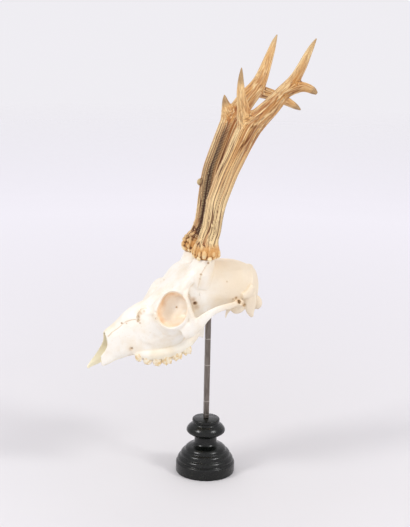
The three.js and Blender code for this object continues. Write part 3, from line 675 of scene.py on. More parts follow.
NASAL = [
    (119, 60), (119, 41), (127, 37.5), (136, 34), (147, 35),
    (152, 34.4), (160, 30.4), (167, 26), (176, 26), (176, 60),
]
PREMAXILLA = [
    (155, 33.4), (160.4, 30.2), (167, 25.6), (176, 26), (205, 20), (205, -20),
    (167.5, -20), (167.5, -2), (161, 15),
]
FRONTAL_CORE = [
    (43, 100), (46, 66), (61.7, 56.7), (67, 44), (69, 16), (100, 16), (112, 30), (118.7, 41), (118.7, 100),
]
FRONTAL_BROW = [
    (68, 40), (100, 40), (119, 38.6), (119, 100), (43, 100), (46, 66), (61.7, 56.7),
]
FRONTAL_WALL = [
    (66.7, 44), (68.7, 16), (68.7, 12), (80, 12), (80, 17.5), (84.8, 17.5), (84.8, 40.2), (67.4, 40.2),
]
LACRIMAL = [
    (100, 39.7), (119, 38.3), (119.3, 49), (127, 46), (135, 37.4), (134, 31), (127, 16),
    (114, 22), (100, 30),
]
ZYGOMATIC_ARCH = [(52, 39.7), (80, 39.7), (80, 5), (52, 5)]
ZYGOMATIC_CHEEK = [
    (79.9, 39.7), (99.7, 39.7), (99.7, 29), (113.6, 21.6), (127, 15), (123, 8), (106, 5),
    (98, 2), (87, 2), (79.9, 4),
]
PALATINE = [(50, 8), (60, 11.6), (69, 12.6), (89, 12.6), (89, -20), (50, -20)]
CRANIUM = [
    (-20, 80), (44, 80), (46, 66), (61.7, 56.7), (66.7, 44), (68.7, 16), (68.7, 13),
    (60, 12.2), (49, 8.4), (49, -20), (-20, -20),
]
MAXILLA = [(74, 60), (180, 60), (180, -30), (74, -30)]
HALF_GAP = SUTURE_GAP / 2
FAR = 60


def spanned(side, near, far):
    return (near, far) if side > 0 else (-far, -near)


def bone_plans():
    """The bones in the order in which they are taken off, each with its plates."""
    for side, word in SIDES:
        yield "nasal_" + word, [(NASAL, *spanned(side, HALF_GAP, 15))]
        yield "premaxilla_" + word, [(PREMAXILLA, *spanned(side, HALF_GAP, 20))]
    yield "frontal", [
        (FRONTAL_CORE, -20, 20), (FRONTAL_BROW, 19.9, FAR), (FRONTAL_BROW, -FAR, -19.9),
        (FRONTAL_WALL, 19.9, 33), (FRONTAL_WALL, -33, -19.9),
    ]
    for side, word in SIDES:
        yield "lacrimal_" + word, [(LACRIMAL, *spanned(side, 15, FAR))]
        yield "zygomatic_" + word, [
            (ZYGOMATIC_ARCH, *spanned(side, 33, FAR)), (ZYGOMATIC_CHEEK, *spanned(side, 26, FAR)),
        ]
    yield "palatine", [(PALATINE, -12.4, 12.4)]
    yield "cranium", [(CRANIUM, -FAR, FAR)]
    for side, word in SIDES:
        yield "maxilla_" + word, [(MAXILLA, *spanned(side, HALF_GAP, FAR))]


def plates(plan, grow):
    whole = None
    for outline, x0, x1 in plan:
        plate = slab(outline, x0, x1, grow, SUTURE_WANDER)
        whole = plate if whole is None else combined(whole, plate, "UNION")
    return whole


def parted_bones(rest):
    for name, plan in bone_plans():
        yield name, combined(rest, plates(plan, 0), "INTERSECT")
        rest = combined(rest, plates(plan, SUTURE_GAP), "DIFFERENCE")


# Where the bone is darker, many of them in its openings and pits, where stains and painted shade lie
# together: centre (x, u, w) of the left side, reach and strength.
LEFT_STAINS = [
    ((31, 29.2, 20), 2, 1), ((31, 30.4, 23.9), 1.6, 0.75), ((31, 33.9, 23.5), 1.2, 0.5),
    ((29, 26, 16), 2.6, 0.4), ((27, 23.6, 12), 1.5, 0.8), ((25, 74, 33.4), 2.2, 1),
    ((26, 74.6, 38), 3, 0.45), ((25.4, 73.6, 29), 3.2, 0.42), ((14, 91.9, 32.9), 1.3, 0.55),
    ((16, 101.6, 16.9), 1.1, 0.4), ((16, 90.5, 55.6), 0.9, 0.2), ((29.7, 49.6, 71.2), 1.2, 0.8),
    ((29.8, 54.5, 67.5), 1, 0.35), ((29.7, 60.2, 62.2), 1.2, 0.65), ((29.5, 62.5, 57.9), 1, 0.5),
    ((15, 150.7, 6.4), 2.2, 0.4), ((28, 123.2, 38.9), 1.4, 0.45), ((28, 119.2, 32.6), 1.4, 0.45),
    ((13.6, 125.6, 40.4), 1.4, 0.3), ((12.2, 129.1, 38.6), 1.4, 0.3), ((12, 132.2, 35.8), 1.5, 0.4),
    ((15, 135, 33), 1.4, 0.6), ((17, 133.9, 30.8), 1, 0.5), ((24, 16.4, 27.7), 1.6, 0.3),
    ((9.1, 150.9, 34.3), 1, 0.7), ((11.7, 146.7, 33.6), 0.8, 0.5), ((25.4, 35, 44), 1, 0.4),
]
# Brown lines along some sutures, and a last line of painted shade in the groove behind the postorbital bar:
# points (x, u, w) of the left side, reach and strength.
LEFT_STAIN_LINES = [
    ([*NASAL_SUTURE, (10, 168.6, 26)], 0.6, 0.42),
    (CORONAL_SUTURE, 0.6, 0.3),
    ([(27, 77.6, 44), (27, 77, 36), (27, 77, 28), (28, 78, 20)], 1.3, 0.3),
]


def bone_colouring(mesh):
    """Stores at each point the bone's stains with painted shade in its openings, painted shade in its
    creases, the eye socket's warmer tint with painted shade, how far back it lies and its straw colour.
    """
    points, normals = points_of(mesh), normals_of(mesh)
    slack = MARK_SLACK * np.abs(normals[:, 0])
    stain_and_shade = np.zeros(len(points))
    socket_tint_and_shade = np.zeros(len(points))
    for side, _ in SIDES:
        for (x, u, w), reach, strength in LEFT_STAINS:
            stain_and_shade = np.maximum(stain_and_shade, strength * near_point(points, (side * x, -u, w), reach, slack))
        for path, reach, strength in LEFT_STAIN_LINES:
            line = [(side * x, -u, w) for x, u, w in path]
            stain_and_shade = np.maximum(stain_and_shade, strength * near_path(points, line, reach, slack))
        inward = np.array(orbit_frame(side).inverted())
        eye = points @ inward[:3, :3].T + inward[:3, 3]
        inside = (eye[:, 1] / ORBIT_HALF_LENGTH) ** 2 + (eye[:, 2] / ORBIT_HALF_HEIGHT) ** 2
        deep = np.clip((-eye[:, 0] - 1) / 5, 0, 1) * (eye[:, 0] > -ORBIT_DEPTH - 2)
        # The socket's warmer tint with painted shade: palest in the middle, warmest round the front and the
        # foot of the socket.
        towards_rim = np.clip(0.25 + 0.75 * inside - 0.35 * side * eye[:, 1] / ORBIT_HALF_LENGTH, 0, 1)
        socket_tint_and_shade = np.maximum(socket_tint_and_shade, deep * towards_rim * np.clip((1.06 - inside) / 0.1, 0, 1))
    u, w = -points[:, 1], points[:, 2]
    straw = np.clip((u - 150) / 22, 0, 1) * np.clip((11.5 - np.abs(points[:, 0])) / 2, 0, 1)
    facing_in = np.clip(-normals[:, 0] * np.sign(points[:, 0]) * 2 + 0.4, 0, 1)
    straw = straw * np.maximum(facing_in, np.clip(-normals[:, 2] - 0.2, 0, 1))
    gums = np.clip((4 - w) / 12, 0, 1) * np.clip((u - 84) / 6, 0, 1) * np.clip((152 - u) / 6, 0, 1)
    # Stains, with painted shade in the openings and in the groove behind the postorbital bar.
    keep_values(mesh, "stain_and_shade", stain_and_shade)
    # Painted shade in the creases.
    keep_values(mesh, "crease_shade", cavities(mesh, 10) / 0.5)
    keep_values(mesh, "socket_tint_and_shade", socket_tint_and_shade)
    # Darker and yellower towards the back of the skull.
    keep_values(mesh, "towards_back", (64 - u) / 26)
    keep_values(mesh, "straw", np.maximum(straw, 0.28 * gums))


# ---------------------------------------------------------------- teeth

# Cheek teeth from the front one back: [front u, back u, gum w, crown tip w, outer x, width, cusps in line]
TEETH = [
    [149, 142.5, -2, -9.4, 18.8, 6.2, 1],
    [142.1, 133.5, -4.5, -15.4, 20.6, 7, 1],
    [133.1, 124.5, -8, -19.8, 23, 8.2, 1],
    [124.1, 113.6, -9, -21.4, 25.2, 9.8, 2],
    [113.2, 101.7, -8, -20.4, 26.2, 10.6, 2],
    [101.3, 90.6, -5.4, -18.6, 26, 10, 2],
]


def cheek_tooth(row, side):
    """A ribbed crown with sharp crescent cusps and a worn basin between them."""
    front, back, gum, tip, outer, width, cusps = row
    middle, half = (front + back) / 2, (front - back) / 2
    centre = side * (outer - width / 2)
    # Way along the crown's outline, share of its full size and height
    outline = [
        (0, 0.7, gum + 1), (0.2, 0.85, gum - 0.6), (0.4, 0.97, gum - 2.6), (0.62, 1, tip + 3.4),
        (0.78, 0.93, tip), (0.86, 0.6, tip + 1.9), (1, 0, tip + 1.6),
    ]

    def place(share, way):
        angle = 2 * math.pi * share
        across, along = super_cos(angle, 3), super_cos(angle - math.pi / 2, 3)
        stations, sizes, heights = np.array(outline).T
        size = np.interp(way, stations, sizes)
        height = np.interp(way, stations, heights)
        cusp = np.sin(math.pi * (along + 1) / 2 * cusps) ** 2
        edge = np.clip((way - 0.5) / 0.28, 0, 1) * (way < 0.95)
        height = height + edge * 2 * (1 - cusp) * (0.5 + 0.5 * np.abs(along) + 0.3 * (cusps == 2))
        ribs = 0.05 * np.cos(2 * math.pi * along * cusps) + 0.03 * np.cos(6 * math.pi * along * cusps)
        size = size * (1 + ribs * (way < 0.8) * np.abs(across))
        x = centre + side * across * size * width / 2
        return np.stack([x, -middle - along * size * (half + 0.25), height], axis=1)
    return rolled(44, 40, place)


def tooth_row(side):
    row = joined([cheek_tooth(tooth, side) for tooth in TEETH])
    points = points_of(row)
    normals = normals_of(row)
    ripple = np.array([0.12 * noise.noise(Vector(p) * 0.9) for p in points])
    move_points(row, points + normals * ripple[:, None])
    points = points_of(row)
    u, w = -points[:, 1], points[:, 2]
    # Brown tartar and painted shade in the gaps between the crowns; the worn basins' brown is their own.
    gap_stain_and_shade = np.zeros(len(points))
    for before, after in zip(TEETH[:-1], TEETH[1:]):
        gap = (before[1] + after[0]) / 2
        low = (before[2] + after[2]) / 2
        gap_stain_and_shade = np.maximum(gap_stain_and_shade, 0.7 * np.exp(-((u - gap) / 0.9) ** 2) * np.clip((w - low + 8) / 5, 0, 1))
    middles = [(tooth[0] + tooth[1]) / 2 for tooth in TEETH[::-1]]
    gum = np.interp(u, middles, [tooth[2] for tooth in TEETH[::-1]])
    basin = np.clip((np.abs(normals[:, 2]) - 0.5) * 2, 0, 1) * (w < gum - 3)
    keep_values(row, "stain_and_shade", np.maximum(gap_stain_and_shade, 0.75 * basin))
    keep_values(row, "gum", np.exp(-((w - gum + 1.2) / 1.6) ** 2))
    return row


# ---------------------------------------------------------------- antlers

# Stops of one antler: [x, forward, height, radius]. Its forks are places, without a radius.
ANTLERS = {
    "left": {
        "beam": [
            [18, 10.7, 245.3, 10.8], [18, 10.6, 248, 13], [18.1, 9.8, 252.5, 13.8], [18.3, 9.2, 256.5, 13.4],
            [18.6, 8.6, 260.5, 12], [18.9, 7.6, 267, 11], [19.6, 5.4, 275, 10.5], [20.5, 4.1, 286, 10.3],
            [21.5, 2.7, 296.6, 10.4], [22.6, 0.9, 307, 10.8], [24, -2.4, 318, 10.9], [25.2, -5.6, 328, 11],
            [26.5, -9.5, 338.7, 10.9], [27.8, -14, 349, 10.9], [29.2, -18.4, 359.5, 11.2],
            [30.8, -22.8, 370, 11.8], [32.6, -28, 381, 12.2],
        ],
        "forks": [[34.2, -28, 396], [33, -24, 386], [51, -66, 424]],
        "web": [[33, -23.4, 393.4, 6], [34, -28.5, 392.6, 6.6], [35.8, -35, 395.4, 7]],
        "front": [
            [29, -17.6, 358, 5], [30.2, -21, 369, 6.6], [31.4, -24.6, 380, 8], [32.4, -22.6, 392, 7.8],
            [33, -21.2, 402, 6.6], [33.5, -18.9, 411, 5.2], [34, -17.4, 426, 3.5], [34.2, -17.4, 435, 2.3],
            [34.3, -17.8, 443.4, 0.6],
        ],
        "top": [
            [34.4, -34.6, 389, 11.2], [36.8, -41.5, 396.4, 10.2], [39.6, -48, 403.6, 9.3],
            [43, -54.4, 412.4, 8.5], [47, -60.1, 420.8, 7.8], [51.4, -65.3, 429, 6.8], [55, -69.8, 438, 5.6],
            [58.5, -73.6, 448, 4.7], [62, -77.2, 458.8, 3.6], [64.6, -80.6, 467.6, 2.3],
            [66, -84, 474.4, 0.6],
        ],
        "back": [
            [47.6, -60.5, 420, 6.4], [53, -68, 424.2, 6.6], [58, -74.8, 426, 5.4], [61, -80, 424.6, 4.6],
            [64, -84.6, 421.8, 3.4], [65.6, -87, 419.6, 1.5],
        ],
    },
    "right": {
        "beam": [
            [-18, 10.7, 245.3, 10.8], [-18, 10.6, 248, 13], [-18, 9.3, 252.8, 14], [-18.2, 8, 257, 13.6],
            [-18.5, 5.6, 261, 12.2], [-18.9, 3, 267, 11.4], [-19.8, 0.4, 273.6, 11.1],
            [-20.5, -1.4, 281, 11.1], [-21.5, -2.9, 289, 11.1], [-22.6, -4.7, 299, 11.4],
            [-23.8, -6.5, 309.4, 11.3], [-25, -8.5, 320, 11.4], [-26.3, -11.4, 331, 11.4],
            [-27.6, -15.9, 342.5, 11.4], [-29, -21.4, 355.6, 11.5], [-30.5, -26, 366.2, 11.7],
            [-32.2, -30.8, 376.6, 12],
        ],
        "forks": [[-34.6, -32, 391], [-33, -29, 382], [-47, -67, 412]],
        "web": [[-33, -28, 388, 6], [-34.4, -33, 388, 6.6], [-36, -39, 391.4, 7]],
        "front": [
            [-29, -21, 354, 5], [-30.6, -25.4, 365, 6.6], [-32, -29, 376, 8], [-33, -28, 386, 8],
            [-33.8, -26.8, 394, 6.4], [-34, -25, 400, 4.4], [-34, -24, 405, 2.6], [-34, -23.4, 409, 0.7],
        ],
        "top": [
            [-34.4, -37.2, 386.6, 11.2], [-36.6, -44, 395.6, 10.5], [-39, -51, 403.6, 9.9],
            [-43, -59.8, 411.4, 9.2], [-47, -67.4, 420.4, 7.8], [-52, -73.9, 431.3, 6.2],
            [-57, -79.9, 442.6, 5], [-61, -85.1, 452.9, 3.9], [-64, -89.4, 462.3, 2.5],
            [-66, -93, 469.2, 0.6],
        ],
        "back": [
            [-45, -64, 411.5, 7], [-50, -71.6, 409, 7], [-54, -82.4, 406, 6.2], [-58, -95.7, 401.5, 5.5],
            [-62, -109.3, 395, 4.3], [-65, -119, 389.8, 2.7], [-66, -123.8, 386.9, 0.8],
        ],
    },
}
# The beam runs on into the top tine as one bar, and a web of antler fills the fork with the front tine.
ANTLER_BARS = ("main", "front", "web", "back")
GRAIN_LINES = ("main", "front", "back")
# Rows of fused knobs in a burr: (height, radius of the ring, knob radius, number, how tall for its width)
BURR_ROWS = ((247.8, 12.5, 2.6, 14, 1), (251.6, 12.4, 2.9, 11, 1.4), (257, 11.2, 2.4, 10, 2.2))
# How many small pearls are scattered up each beam
PEARLS = 30
# Knobs that stand out of the right burr in front: [x, forward, height, radius]
FRONT_KNOBS = [
    [-15, 23.4, 258.6, 2.7], [-17, 23.8, 254, 2.6], [-13, 22.6, 262.4, 2.3], [-11.6, 20.2, 258.4, 2],
]
# A bump halfway up the front of the right beam, and the dark skin round it: [x, forward, height]
BEAM_BUMP = (-25, 4.2, 317.6)
BEAM_BUMP_RADII = (3, 3.2, 3.6)
BUMP_STAIN = (-26, 4.6, 317.6)


def antler_path(plan, name):
    stops = plan["beam"] + plan["top"] if name == "main" else plan[name]
    return [(x, -forward, height, radius, radius) for x, forward, height, radius in stops]


def burr_knobs(plan, chance):
    """The fused knobs of the burr, fattest in the middle row, and the pearls scattered up the beam."""
    knobs = []
    x, y = antler_path(plan, "beam")[1][:2]
    for row, (height, ring, size, number, tall) in enumerate(BURR_ROWS):
        for i in range(number):
            angle = 2 * math.pi * (i + 0.5 * row + chance.uniform(-0.22, 0.22)) / number
            far = ring + chance.uniform(-0.9, 0.7)
            grown = size * chance.uniform(0.62, 1.2)
            centre = (x + far * math.cos(angle), y + far * math.sin(angle), height + chance.uniform(-1, 1))
            radii = (grown, 0.9 * grown, tall * grown * chance.uniform(0.8, 1.2))
            knobs.append(ball(centre, radii, angle, fineness=3))
    read = path_frames(antler_path(plan, "beam"), (1, 0, 0))
    centre, across, other, radii = read(0.1 + 0.5 * chance.random(PEARLS) ** 1.7)
    for i in range(PEARLS):
        angle = chance.uniform(0, 2 * math.pi)
        outward = across[i] * math.cos(angle) + other[i] * math.sin(angle)
        grown = chance.uniform(0.7, 1.2)
        knobs.append(ball(centre[i] + outward * radii[i, 0] * 0.97, (grown, grown, 2 * grown), fineness=2))
    return knobs


def antler_skin(plan, side, chance):
    """Beam, tines, webs and knobs under one skin, with the forks rounded out like the webs of a hand."""
    shells = [bar(antler_path(plan, name), up=(1, 0, 0), around=40, along=110) for name in ANTLER_BARS]
    shells += burr_knobs(plan, chance)
    if side < 0:
        x, forward, height = BEAM_BUMP
        shells.append(ball((x, -forward, height), BEAM_BUMP_RADII, fineness=3))
        for x, forward, height, size in FRONT_KNOBS:
            shells.append(ball((x, -forward, height), (size, size, size), fineness=3))
    skin = one_skin(joined(shells), ANTLER_SKIN, 3)
    points = points_of(skin)
    forks = [(x, -forward, height) for x, forward, height in plan["forks"]]
    share = np.max([near_point(points, fork, 15) for fork in forks], axis=0)
    move_points(skin, points + share[:, None] * (evened(skin, 70) - points))
    return skin


def read_along(path, points):
    """Reads each point against one grain line of the antler.

    It gives the distance in radii, the offsets in both directions across and the length along, the way from
    0 to 1 and the direction outward.
    """
    way = np.linspace(0, 1, 160)
    centre, across, other, radii = path_frames(path, (1, 0, 0))(way)
    length = np.concatenate([[0], np.cumsum(np.linalg.norm(np.diff(centre, axis=0), axis=1))])
    tree = kdtree.KDTree(len(centre))
    for i, c in enumerate(centre):
        tree.insert(c, i)
    tree.balance()
    found = [tree.find(p) for p in points]
    index = np.array([f[1] for f in found])
    ratio = np.array([f[2] for f in found]) / np.maximum(radii[index, 0], 1)
    offset = points - centre[index]
    ahead = (offset * np.cross(across[index], other[index])).sum(axis=1)
    first = (offset * across[index]).sum(axis=1)
    second = (offset * other[index]).sum(axis=1)
    outward = offset / np.linalg.norm(offset, axis=1)[:, None]
    return ratio, first, second, length[index] + ahead, way[index], outward


def grain_noise(line, side, first, second, along):
    """Two noises drawn out along the grain: fine for the grooves and broad for the flutes."""
    fine, broad = 1 / GROOVE_SPACING, 0.11
    return np.array([
        (
            noise.noise(Vector((a * fine, b * fine, c * 0.006 + 7 * line + side))),
            noise.noise(Vector((a * broad, b * broad, c * 0.007 + 3 * line + 5 * side))),
        )
        for a, b, c in zip(first, second, along)
    ])


def antler(word, side):
    """One antler, grooved along its length, with the values that its colours follow."""
    plan = ANTLERS[word]
    skin = antler_skin(plan, side, np.random.default_rng(7 if side > 0 else 12))
    points, normals = points_of(skin), normals_of(skin)
    height = points[:, 2]

    # Each point is read against every grain line of the antler, the nearest one counting most.
    reads = [read_along(antler_path(plan, name), points) for name in GRAIN_LINES]
    ratios = np.array([r[0] for r in reads])
    weights = np.exp(-(ratios - ratios.min(axis=0)) / 0.18)
    weights /= weights.sum(axis=0)

    grooves, flutes, tip, tine = np.zeros((4, len(points)))
    grain = np.zeros((len(points), 3))
    for i, (_, first, second, along, way, _) in enumerate(reads):
        is_main = i == 0
        values = grain_noise(i, side, first, second, along)
        fading = np.clip((1 - way) * (1.7 if is_main else 1.1), 0, 1)
        grooves += weights[i] * fading * np.exp(-((values[:, 0] / 0.1) ** 2))
        flutes += weights[i] * fading * values[:, 1]
        tip += weights[i] * np.clip((way - (0.93 if is_main else 0.78)) / 0.08, 0, 1)
        tine += weights[i] * ((way - 0.55) / 0.3 if is_main else way * 3)
        grain += weights[i][:, None] * np.stack([first, second, along + 400 * side], axis=1)

    # Each beam has a deep channel on the front of its face towards the other beam, and a narrow one behind,
    # both sunk into the skin.
    burr = np.clip((263 - height) / 6, 0, 1)
    out = reads[0][5]
    lower = np.clip((396 - height) / 26, 0, 1) * weights[0]
    channel = np.exp(-(1 - (-0.8 * side * out[:, 0] - 0.6 * out[:, 1])) / 0.09) * lower
    rear = np.exp(-(1 - (0.45 * side * out[:, 0] + 0.89 * out[:, 1])) / 0.04)
    rear *= np.clip((365 - height) / 20, 0, 1)
    sink = 0.55 * grooves - 1.1 * flutes + 1.3 * channel + 0.5 * rear
    # The flat foot stays flat, and the burr's knobs hide most of the grooves.
    sink = np.where(height < 246.2, 0, sink * (1 - 0.85 * burr))
    move_points(skin, points - normals * sink[:, None])

    # The channels are darkened with the furrows' own brown and with painted shade; the bump's brown patch is
    # the skin's own.
    dark_and_shade = np.maximum(channel, 0.75 * rear) * (1 - burr)
    if side < 0:
        x, forward, bump_height = BUMP_STAIN
        dark_and_shade = np.maximum(dark_and_shade, 0.4 * near_point(points, (x, -forward, bump_height), 6))
    # Painted shade on the faces the beams turn to each other.
    inner_face_shade = np.clip(-side * out[:, 0] * 1.4 + 0.15, 0, 1) * lower
    # Painted light, with the skin's own paler tone, on the outer faces low down and on the front faces.
    lit_and_pale = np.clip(side * out[:, 0] + 0.55, 0, 1) * np.clip((362 - height) / 60, 0, 1)
    lit_and_pale = np.maximum(lit_and_pale, 0.8 * np.clip((-out[:, 1] - 0.6) / 0.25, 0, 1))
    proud = np.clip((ratios.min(axis=0) - 1.05) / 0.12, 0, 1)
    keep_values(skin, "groove", grooves * (1 - 0.7 * burr))
    keep_values(skin, "dark_and_shade", dark_and_shade)
    keep_values(skin, "inner_face_shade", inner_face_shade * (1 - burr))
    keep_values(skin, "lit_and_pale", lit_and_pale)
    keep_values(skin, "burr", burr)
    keep_values(skin, "tip", tip)
    keep_values(skin, "tine", tine)
    # Painted shade in the hollows and painted highlights on the proud points, with the sap and the rubbed,
    # paler points they share.
    keep_values(skin, "relief_shade_and_wear", 0.5 + cavities(skin, 12) / 0.8)
    keep_values(skin, "bead", proud * np.clip((252 - height) / 2, 0, 1))
    flow = skin.attributes.new("grain", "FLOAT_VECTOR", "POINT")
    flow.data.foreach_set("vector", np.ascontiguousarray(grain, np.float32).ravel())
    return skin


# ---------------------------------------------------------------- stand

# The turner's outline of the foot: [radius, height]
FOOT_PROFILE = [
    # the plinth and the bead on it
    (0, 0), (FOOT_RADIUS - 1.2, 0), (FOOT_RADIUS - 0.3, 0.3), (FOOT_RADIUS, 1.2), (FOOT_RADIUS, 10.6),
    (FOOT_RADIUS - 0.2, 11.8), (FOOT_RADIUS - 0.8, 12.6), (30.4, 12.9), (30, 13.4), (30.4, 14.2),
    (30.3, 15.6), (29.6, 17), (28.6, 18.2), (27.5, 18.7),
    # the step and the round above it
    (27, 19.3), (27.1, 20.2), (26.8, 21.6), (25.7, 23.2), (24.2, 24.3), (23.2, 24.7), (22.6, 25.3),
    (22.5, 26.1), (21.8, 27.4), (20.4, 28.8), (18.4, 30), (16.2, 30.9), (14.2, 31.8),
    # the waist
    (12.9, 33), (12.3, 34.6), (12.1, 36.6), (12.2, 40.6), (12.8, 41.9),
    # the ball and its collar
    (14.8, 42.8), (17.2, 43.6), (19.2, 44.8), (20.6, 46.2), (21.1, 47.4), (20.9, 48.8), (20, 50.6),
    (18.6, 52.4), (16.9, 53.9), (15.6, 54.6), (14.6, 55.4), (14.2, 56.4), (14.4, 57.4), (14.9, 58.4),
    (15, 59.4), (14.7, 60.3), (14, FOOT_HEIGHT), (0, FOOT_HEIGHT),
]


def turned_foot():
    bm = bmesh.new()
    stops = [bm.verts.new((radius, 0, height)) for radius, height in FOOT_PROFILE]
    line = [bm.edges.new(pair) for pair in zip(stops[:-1], stops[1:])]
    bmesh.ops.spin(
        bm, geom=stops + line, cent=(0, 0, 0), axis=(0, 0, 1), dvec=(0, 0, 0),
        angle=2 * math.pi, steps=112, use_merge=True, use_duplicate=False,
    )
    bmesh.ops.remove_doubles(bm, verts=bm.verts, dist=1e-3)
    bmesh.ops.recalc_face_normals(bm, faces=bm.faces)
    return mesh_from(bm)


def square_rod():
    bm = bmesh.new()
    bmesh.ops.create_cube(bm, size=1)
    low = FOOT_HEIGHT + 0.3
    bmesh.ops.scale(bm, verts=bm.verts, vec=(ROD_WIDTH, ROD_WIDTH, ROD_TOP - low))
    bmesh.ops.translate(bm, verts=bm.verts, vec=(0, 0, (ROD_TOP + low) / 2))
    bmesh.ops.bevel(
        bm, geom=list(bm.edges), offset=0.45, offset_type="OFFSET", segments=3, profile=0.5,
        affect="EDGES", clamp_overlap=True, material=-1,
    )
    return mesh_from(bm)


# ---------------------------------------------------------------- finishes

def linear(code):
    """An sRGB hex colour as the linear colour that shaders take."""
    parts = [int(code[i:i + 2], 16) / 255 for i in (1, 3, 5)]
    return (*[c / 12.92 if c <= 0.04045 else ((c + 0.055) / 1.055) ** 2.4 for c in parts], 1.0)


def node(tree, kind, inputs=None, out=0, **settings):
    """Adds a node and gives one of its outputs. An input that is a socket is linked, any other is set."""
    made = tree.nodes.new(kind)
    for key, value in settings.items():
        setattr(made, key, value)
    for key, value in (inputs or {}).items():
        if isinstance(value, bpy.types.NodeSocket):
            tree.links.new(value, made.inputs[key])
        else:
            made.inputs[key].default_value = value
    return made.outputs[out] if made.outputs else made


def new_material(name):
    """A material without its shader yet, and the object's own coordinates in millimetres."""
    material = bpy.data.materials.new(name)
    material.use_nodes = True
    tree = material.node_tree
    tree.nodes.clear()
    place = node(tree, "ShaderNodeTexCoord", out="Object")
    mm = node(tree, "ShaderNodeVectorMath", {0: place, 1: (1000, 1000, 1000)}, operation="MULTIPLY")
    return material, tree, mm


def layered(tree, colour, layers):
    """Lays colours over one another. Each layer is (value, value at none, value at full, cover, colour)."""
    for value, none, full, cover, code in layers:
        share = node(tree, "ShaderNodeMapRange", {0: value, 1: none, 2: full, 3: 0, 4: cover})
        colour = node(tree, "ShaderNodeMix", {0: share, 6: colour, 7: linear(code)}, 2, data_type="RGBA")
    return colour


def shade(tree, colour, roughness, height, bump, **fixed):
    # Distance is in metres: the relief stands 0.3 mm high at full strength.
    relief = node(tree, "ShaderNodeBump", {"Height": height, "Strength": bump, "Distance": 0.0003})
    inputs = {"Base Color": colour, "Roughness": roughness, "Normal": relief, **fixed}
    node(tree, "ShaderNodeOutputMaterial", {"Surface": node(tree, "ShaderNodeBsdfPrincipled", inputs)})


def bleached_bone():
    """Bone boiled and bleached: chalky ivory, cloudy cream patches, pin-hole pores and brown openings, with
    painted shade in the openings, in the creases and in the eye sockets.
    """
    material, tree, mm = new_material("bleached_bone")
    stain_and_shade, socket_tint_and_shade, straw, crease_shade, towards_back = (
        node(tree, "ShaderNodeAttribute", out="Fac", attribute_name=name)
        for name in ("stain_and_shade", "socket_tint_and_shade", "straw", "crease_shade", "towards_back")
    )
    clouds = node(tree, "ShaderNodeTexNoise", {"Vector": mm, "Scale": 1 / 16, "Detail": 4})
    fine = node(tree, "ShaderNodeTexNoise", {"Vector": mm, "Scale": 1 / 2.6, "Detail": 5, "Roughness": 0.65})
    blots = node(tree, "ShaderNodeTexNoise", {"Vector": mm, "Scale": 1 / 11, "Detail": 3})
    patches = node(tree, "ShaderNodeMath", {0: socket_tint_and_shade, 1: blots}, operation="MULTIPLY")
    # Painted shade is laid in with the layers for the creases, the eye sockets' warmer tint and the openings'
    # stains.
    colour = layered(tree, linear("#f9f4e9"), [
        (clouds, 0.4, 0.68, 1, "#f1e5d0"),
        (towards_back, 0, 1, 0.8, "#ead9bd"),
        (fine, 0.56, 0.74, 0.35, "#e0cfae"),
        (crease_shade, 0.1, 1, 0.5, "#dcc398"),
        (socket_tint_and_shade, 0, 1, 0.85, "#fae6cc"),
        (patches, 0.3, 0.62, 0.7, "#e3b27b"),
        (straw, 0, 1, 0.75, "#faf0c8"),
        (stain_and_shade, 0.04, 0.5, 0.72, "#bd935a"),
        (stain_and_shade, 0.4, 0.95, 0.92, "#5c330f"),
    ])
    pores = node(tree, "ShaderNodeTexVoronoi", {"Vector": mm, "Scale": 1 / 1.7, "Randomness": 1}, "Distance")
    holes = node(tree, "ShaderNodeMapRange", {0: pores, 1: 0.05, 2: 0.16})
    height = node(tree, "ShaderNodeMath", {0: holes, 1: fine}, operation="ADD")
    roughness = node(tree, "ShaderNodeMapRange", {0: clouds, 1: 0.3, 2: 0.7, 3: 0.52, 4: 0.66})
    shade(tree, colour, roughness, height, 0.3, IOR=1.5)
    return material


def tooth_enamel():
    """Worn enamel over yellow dentine: glossier than bone, with brown tartar and painted shade between the
    crowns.
    """
    material, tree, mm = new_material("tooth_enamel")
    stain_and_shade, gum = (
        node(tree, "ShaderNodeAttribute", out="Fac", attribute_name=name) for name in ("stain_and_shade", "gum")
    )
    clouds = node(tree, "ShaderNodeTexNoise", {"Vector": mm, "Scale": 1 / 3.5, "Detail": 3})
    specks = node(tree, "ShaderNodeTexNoise", {"Vector": mm, "Scale": 1 / 2.4, "Detail": 2})
    blot = node(tree, "ShaderNodeMath", {0: stain_and_shade, 1: specks}, operation="MULTIPLY")
    # The brown between the crowns is tartar and painted shade.
    colour = layered(tree, linear("#f6ebd2"), [
        (clouds, 0.42, 0.62, 0.9, "#e2c284"),
        (gum, 0, 1, 0.3, "#d0a25e"),
        (blot, 0.1, 0.36, 0.95, "#5a3010"),
    ])
    shade(tree, colour, 0.34, clouds, 0.25, IOR=1.6)
    return material


